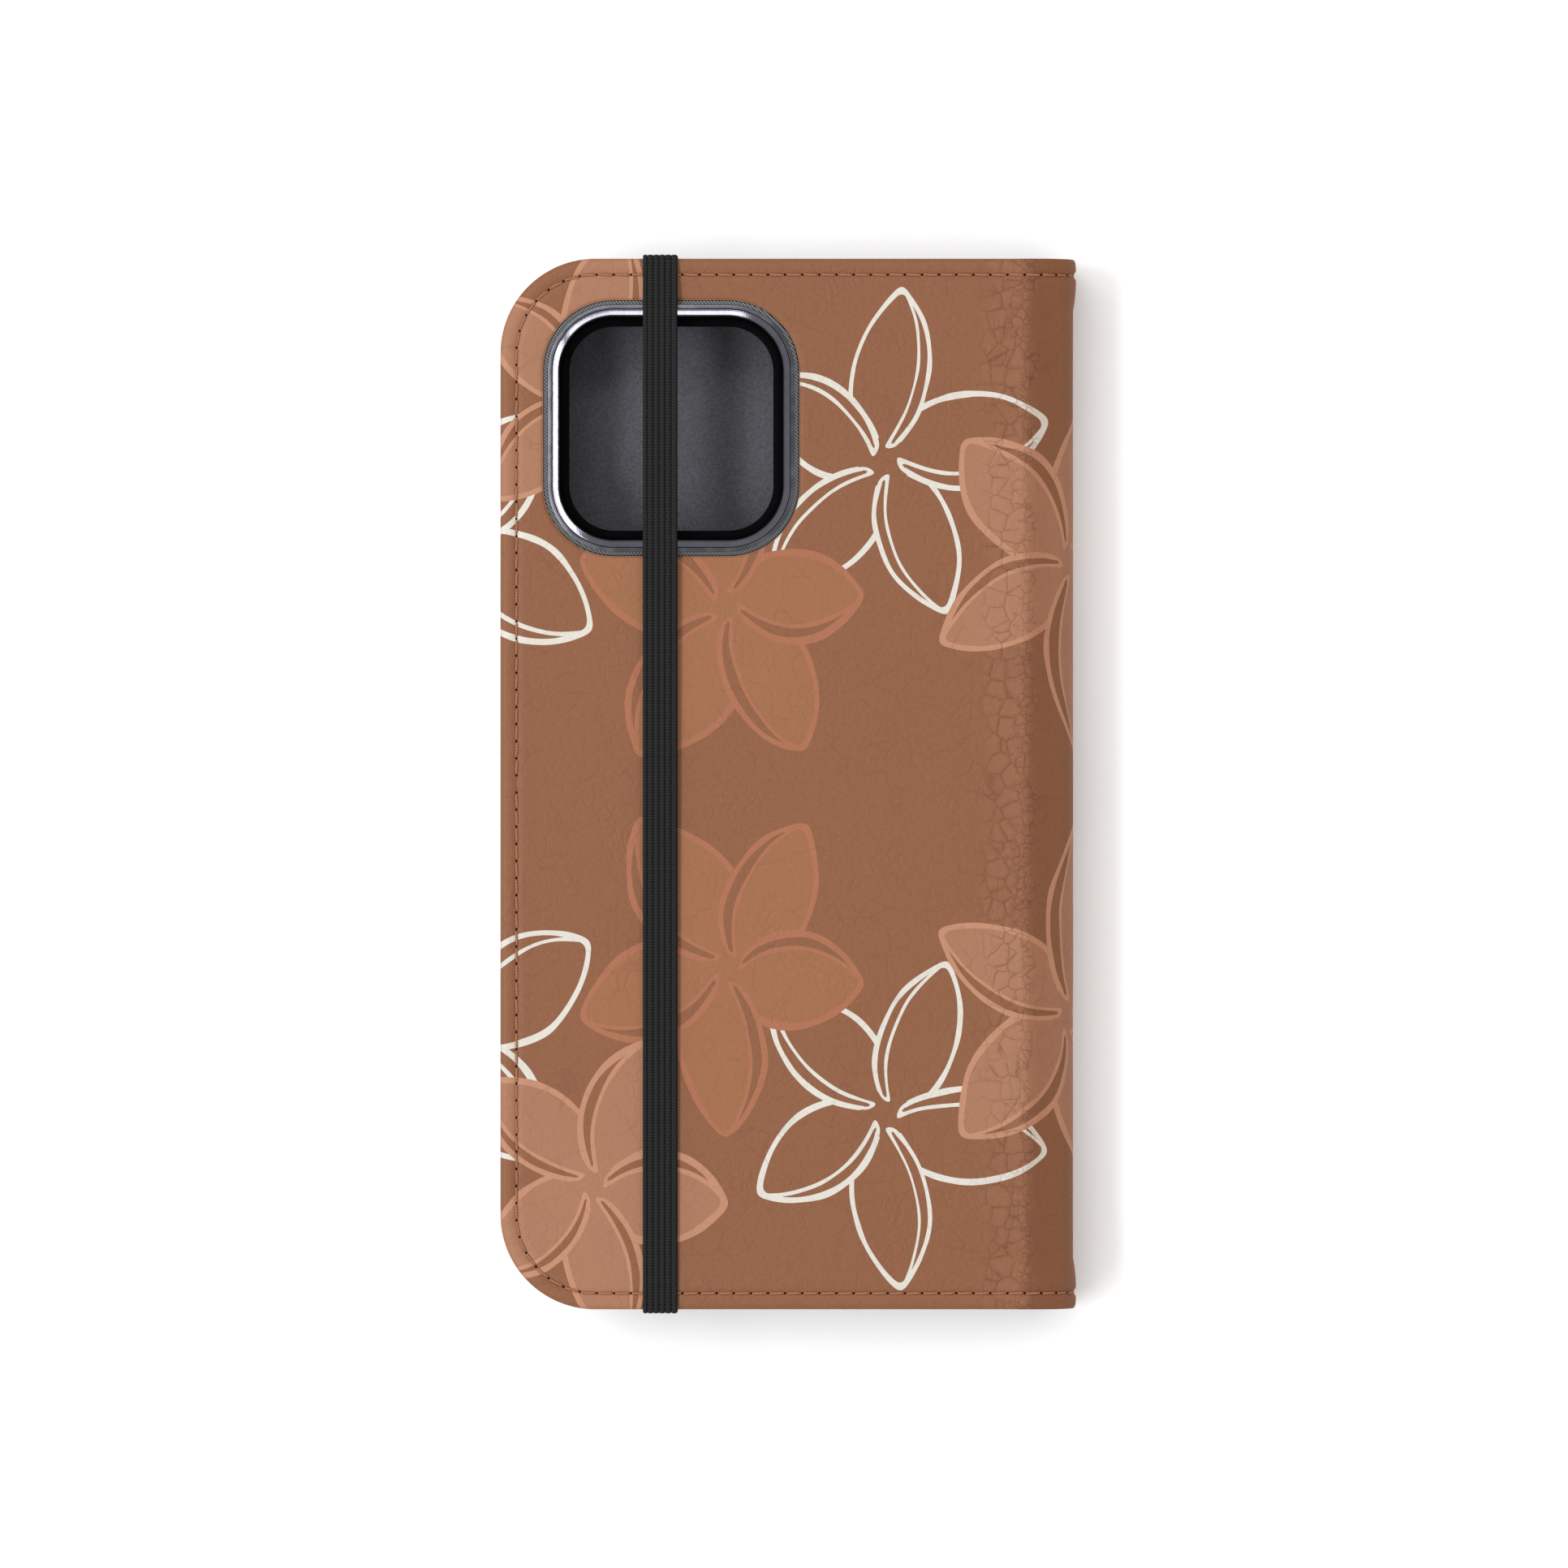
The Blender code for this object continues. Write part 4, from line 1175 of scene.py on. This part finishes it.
def tray_mesh(centre):
    """Walls with a snap lip at the mouth, the collar with its black ledge, and the floor."""
    half = ((SHELL_HIGH[0] - SHELL_LOW[0]) / 2, SHELL_HIGH[1])
    mouth, crest = SHELL_LOW[2], SHELL_HIGH[2]
    top = SHELL_FLOOR_TOP
    low = top - SHELL_FLOOR
    wall = SHELL_WALL
    lip = wall + SHELL_LIP
    ledge = COLLAR_WALL + WINDOW_LEDGE
    wall_levels = [
        (wall + 0.5, low), (wall + 0.15, low - 0.12), (wall, low - 0.45), (wall, mouth + 1.5),
        (wall + 0.12, mouth + 1.1), (lip - 0.15, mouth + 0.85), (lip, mouth + 0.65),
        (lip, mouth + 0.3), (lip - 0.12, mouth + 0.08), (lip - 0.35, mouth), (0.45, mouth),
        (0.12, mouth + 0.12), (0.0, mouth + 0.45), (0.0, top - 0.6), (0.15, top - 0.2), (0.55, top)]
    collar_levels = [
        (0.0, top), (0.0, crest - 0.2), (0.2, crest), (COLLAR_WALL - 0.25, crest),
        (COLLAR_WALL, crest - 0.2), (COLLAR_WALL + 0.02, crest - 0.8),
        (COLLAR_WALL + 0.22, top + 0.65), (COLLAR_WALL + 0.6, top + 0.28), (ledge - 0.3, top + 0.06),
        (ledge - 0.05, top - 0.12), (ledge, top - 0.35), (ledge, low + 0.15), (ledge - 0.15, low)]
    walls = slab_loops("XY", centre, half, SHELL_CORNER_R, wall_levels, SHELL_STEPS)
    collar = slab_loops("XY", WINDOW[:2], (WINDOW_HALF, WINDOW_HALF), WINDOW_R, collar_levels,
                        SHELL_STEPS)
    size = len(walls[0])
    first = len(walls) * size
    faces = loop_faces(len(walls), size)
    faces += [tuple(i + first for i in face) for face in loop_faces(len(collar), size)]
    for outer, inner, outer_first, inner_first in (
            (walls[-1], collar[0], first - size, first),
            (walls[0], collar[-1], 0, first + (len(collar) - 1) * size)):
        faces += [tuple(i + outer_first if i < size else i - size + inner_first for i in face)
                  for face in annulus(outer, inner)]
    return np.vstack(walls + collar), faces


FLARE = 0.3
BUTTONS = ("volume_up_button", "volume_down_button", "side_button")
BUTTON_GAP = 0.3
SWITCH_Y = 45.5
SWITCH_SIZE = (8.0, 4.6)
PORT_SIZE = (13.0, 6.2)
SPEAKER_SIZE = (11.0, 2.4)
SPEAKER_X = 18.5


def wall_openings(centre_x, mat):
    """Cutters for the button, switch, port and speaker openings; each flares outwards."""
    def reach(edge, outward):
        return edge - outward * 3.0, edge - outward * FLARE, edge, edge + outward * 0.5

    right, left, foot = reach(SHELL_HIGH[0], 1), reach(SHELL_LOW[0], -1), reach(SHELL_LOW[1], -1)
    holes = []
    for node in BUTTONS:
        low, high = box_mm(node)
        holes.append(("YZ", (low + high)[1:] / 2, (high - low)[1:] + 2 * BUTTON_GAP,
                      right if low[0] > 0 else left))
    low, high = box_mm(BUTTONS[0])
    z = (low[2] + high[2]) / 2
    holes.append(("YZ", (SWITCH_Y, z), SWITCH_SIZE, right))
    holes.append(("XZ", (centre_x, z), PORT_SIZE, foot))
    holes += [("XZ", (centre_x + side * SPEAKER_X, z), SPEAKER_SIZE, foot) for side in (-1, 1)]
    cutters = []
    for number, (plane, middle, size, depths) in enumerate(holes):
        half = (size[0] / 2, size[1] / 2)
        loops = slab_loops(plane, middle, half, min(half) - 0.1, zip((0.0, 0.0, -FLARE, -FLARE), depths))
        cutters.append(mesh_object(f"hole_{number}", *solid_mesh(loops), mat))
    return cutters


def build_shell(mat):
    """The moulded tray that holds the phone."""
    centre = ((SHELL_LOW[0] + SHELL_HIGH[0]) / 2, 0.0)
    shell = mesh_object("shell_tray", *tray_mesh(centre), mat)
    cut(shell, wall_openings(centre[0], mat))
    finish_piece(shell, "shell_polymer", "back_panel", "phone_shell")


def build_button(node, mat):
    """A cap with a rounded rim and a shallow dish in its face."""
    low, high = box_mm(node)
    outward = 1 if low[0] > 0 else -1
    inner, outer = (low[0], high[0]) if outward > 0 else (high[0], low[0])
    half = (high - low)[1:] / 2
    depths = ((0.0, 0.42), (0.05, 0.22), (0.16, 0.08), (0.34, 0.0), (0.55, 0.02), (0.85, 0.09),
              (1.15, 0.11))
    levels = [(0.0, inner)] + [(inset, outer - outward * depth) for inset, depth in depths]
    loops = slab_loops("YZ", (low + high)[1:] / 2, half, half[1] - 0.05, levels)
    cap = mesh_object(node + "_cap", *solid_mesh(loops), mat)
    finish_piece(cap, "shell_polymer", node.replace("_button", ""), node)


POCKET_R = 2.0
POCKET_SEAM = 1.5


def build_pockets(mat, thread_mat):
    """Four thin leaves with turned edges, sewn down along their sides and foot."""
    names = ("cash_pocket", "card_pocket_1", "card_pocket_2", "card_pocket_3")
    boxes = [box_mm(name) for name in names]
    stitches = []
    for number, (name, (low, high)) in enumerate(zip(names, boxes)):
        middle = (low + high)[:2] / 2
        half = (high - low)[:2] / 2
        levels = [(0.14, low[2]), (0.02, low[2] + 0.06), (0.0, low[2] + 0.17), (0.03, high[2] - 0.07),
                  (0.14, high[2]), (1.0, high[2]), (1.15, high[2] - 0.04), (1.3, high[2])]
        loops = slab_loops("XY", middle, half, POCKET_R, levels)
        leaf = mesh_object(name + "_leaf", *solid_mesh(loops), mat)
        store(leaf, "skin", np.vstack(loops))
        finish_piece(leaf, "lining_suedette", "front_cover", name)
        # the stitches end where the next leaf covers this one
        covered = number + 1 < len(boxes)
        foot = boxes[number + 1][1][1] + 0.6 if covered else low[1] + POCKET_SEAM
        for x in (low[0] + POCKET_SEAM, high[0] - POCKET_SEAM):
            stitches += straight_stitches((x, high[1] - 1.6), (x, foot), high[2])
    low, high = boxes[-1]
    stitches += straight_stitches((low[0] + POCKET_SEAM, low[1] + POCKET_SEAM),
                                  (high[0] - POCKET_SEAM, low[1] + POCKET_SEAM), high[2])
    seam = stitches_object("pocket_stitches", stitches, thread_mat)
    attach(seam, "front_cover")


def finish_nodes(names, mat):
    """Give carried-over CAD nodes a procedural material."""
    for name in names:
        obj = frame["nodes"][name]
        obj.data.materials.clear()
        obj.data.materials.append(mat)


# ---------------------------------------------------------------- stage, light and camera

FLOOR_Z = -0.15
FLOOR_HALF = 3000.0
ROOM_STRENGTH = 0.84


def build_stage():
    """The pale floor."""
    mat, _ = new_material("studio_floor", Roughness=0.9, Base_Color=(0.97, 0.97, 0.97))
    verts = [(x * FLOOR_HALF, y * FLOOR_HALF, FLOOR_Z) for x, y in CORNERS]
    floor = mesh_object("floor", verts, [(0, 1, 2, 3)], mat)


def strip_light(name, place, size, power):
    """A soft strip lamp that looks at the case; metres and watts."""
    light = bpy.data.lights.new(name, "AREA")
    light.shape = "RECTANGLE"
    light.size, light.size_y = size
    light.energy = power
    obj = bpy.data.objects.new(name, light)
    obj.location = place
    aim = Vector((0, 0, 0.01)) - Vector(place)
    obj.rotation_euler = aim.to_track_quat("-Z", "Y").to_euler()
    bpy.context.scene.collection.objects.link(obj)


def build_light():
    """A white room, with a strip lamp on the left and one beyond the top."""
    world = bpy.data.worlds.new("studio")
    bpy.context.scene.world = world
    world.use_nodes = True
    background = world.node_tree.nodes["Background"]
    background.inputs["Color"].default_value = (1.0, 1.0, 1.0, 1.0)
    background.inputs["Strength"].default_value = ROOM_STRENGTH
    strip_light("left_strip", (-0.64, -0.12, 1.0), (1.2, 0.20), 9.4)
    strip_light("top_strip", (-0.2, 0.64, 1.0), (0.8, 0.18), 3.8)
    bpy.context.scene.view_settings.view_transform = "Standard"


# The picture's width on the leather (mm), and a long lens
FRAME_WIDTH = 231.84
LENS = 400.0
SENSOR = 36.0
CAMERA_X = -0.45


def build_camera():
    """The camera looks straight down."""
    data = bpy.data.cameras.new("camera")
    data.lens = LENS
    data.sensor_width = SENSOR
    data.dof.use_dof = False
    camera = bpy.data.objects.new("camera", data)
    camera.location = (CAMERA_X * MM, 0.0, (TOP + FRAME_WIDTH * LENS / SENSOR) * MM)
    data.clip_end = 10.0
    bpy.context.scene.collection.objects.link(camera)
    bpy.context.scene.camera = camera


def build_both(build, name, mat, back_nodes, front_nodes):
    """The same kind of skin piece on the back and on the front cover."""
    for side, nodes in (("back", back_nodes), ("front", front_nodes)):
        obj = build(f"{name}_{side}", side == "front", mat)
        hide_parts(*nodes)
        crease_blend(obj, side == "front")


def main():
    """Build every piece, then the studio round it."""
    leather = leather_material()
    suede = lining_material()
    tan = thread_material("tan_thread", tone(160, 110, 84), tone(192, 138, 110))

    build_both(build_leather, "leather", leather, ("back_leather", "spine_leather"), ("front_leather",))
    build_both(build_lining, "lining", suede, ("back_lining", "spine_lining"), ("front_lining",))
    build_both(perimeter_stitches, "stitches", tan,
               ("back_seam_thread", "spine_thread_upper", "spine_thread_lower"),
               ("front_seam_thread",))
    build_band(elastic_material())
    build_bezel(collar_material(), polished_material())

    finish_nodes(("front_board", "back_board"), board_material())
    finish_nodes(("shell_adhesive",), adhesive_material())
    polymer = polymer_material()
    build_shell(polymer)
    for node in BUTTONS:
        build_button(node, polymer)
    build_pockets(suede, tan)

    build_stage()
    build_light()
    build_camera()


main()
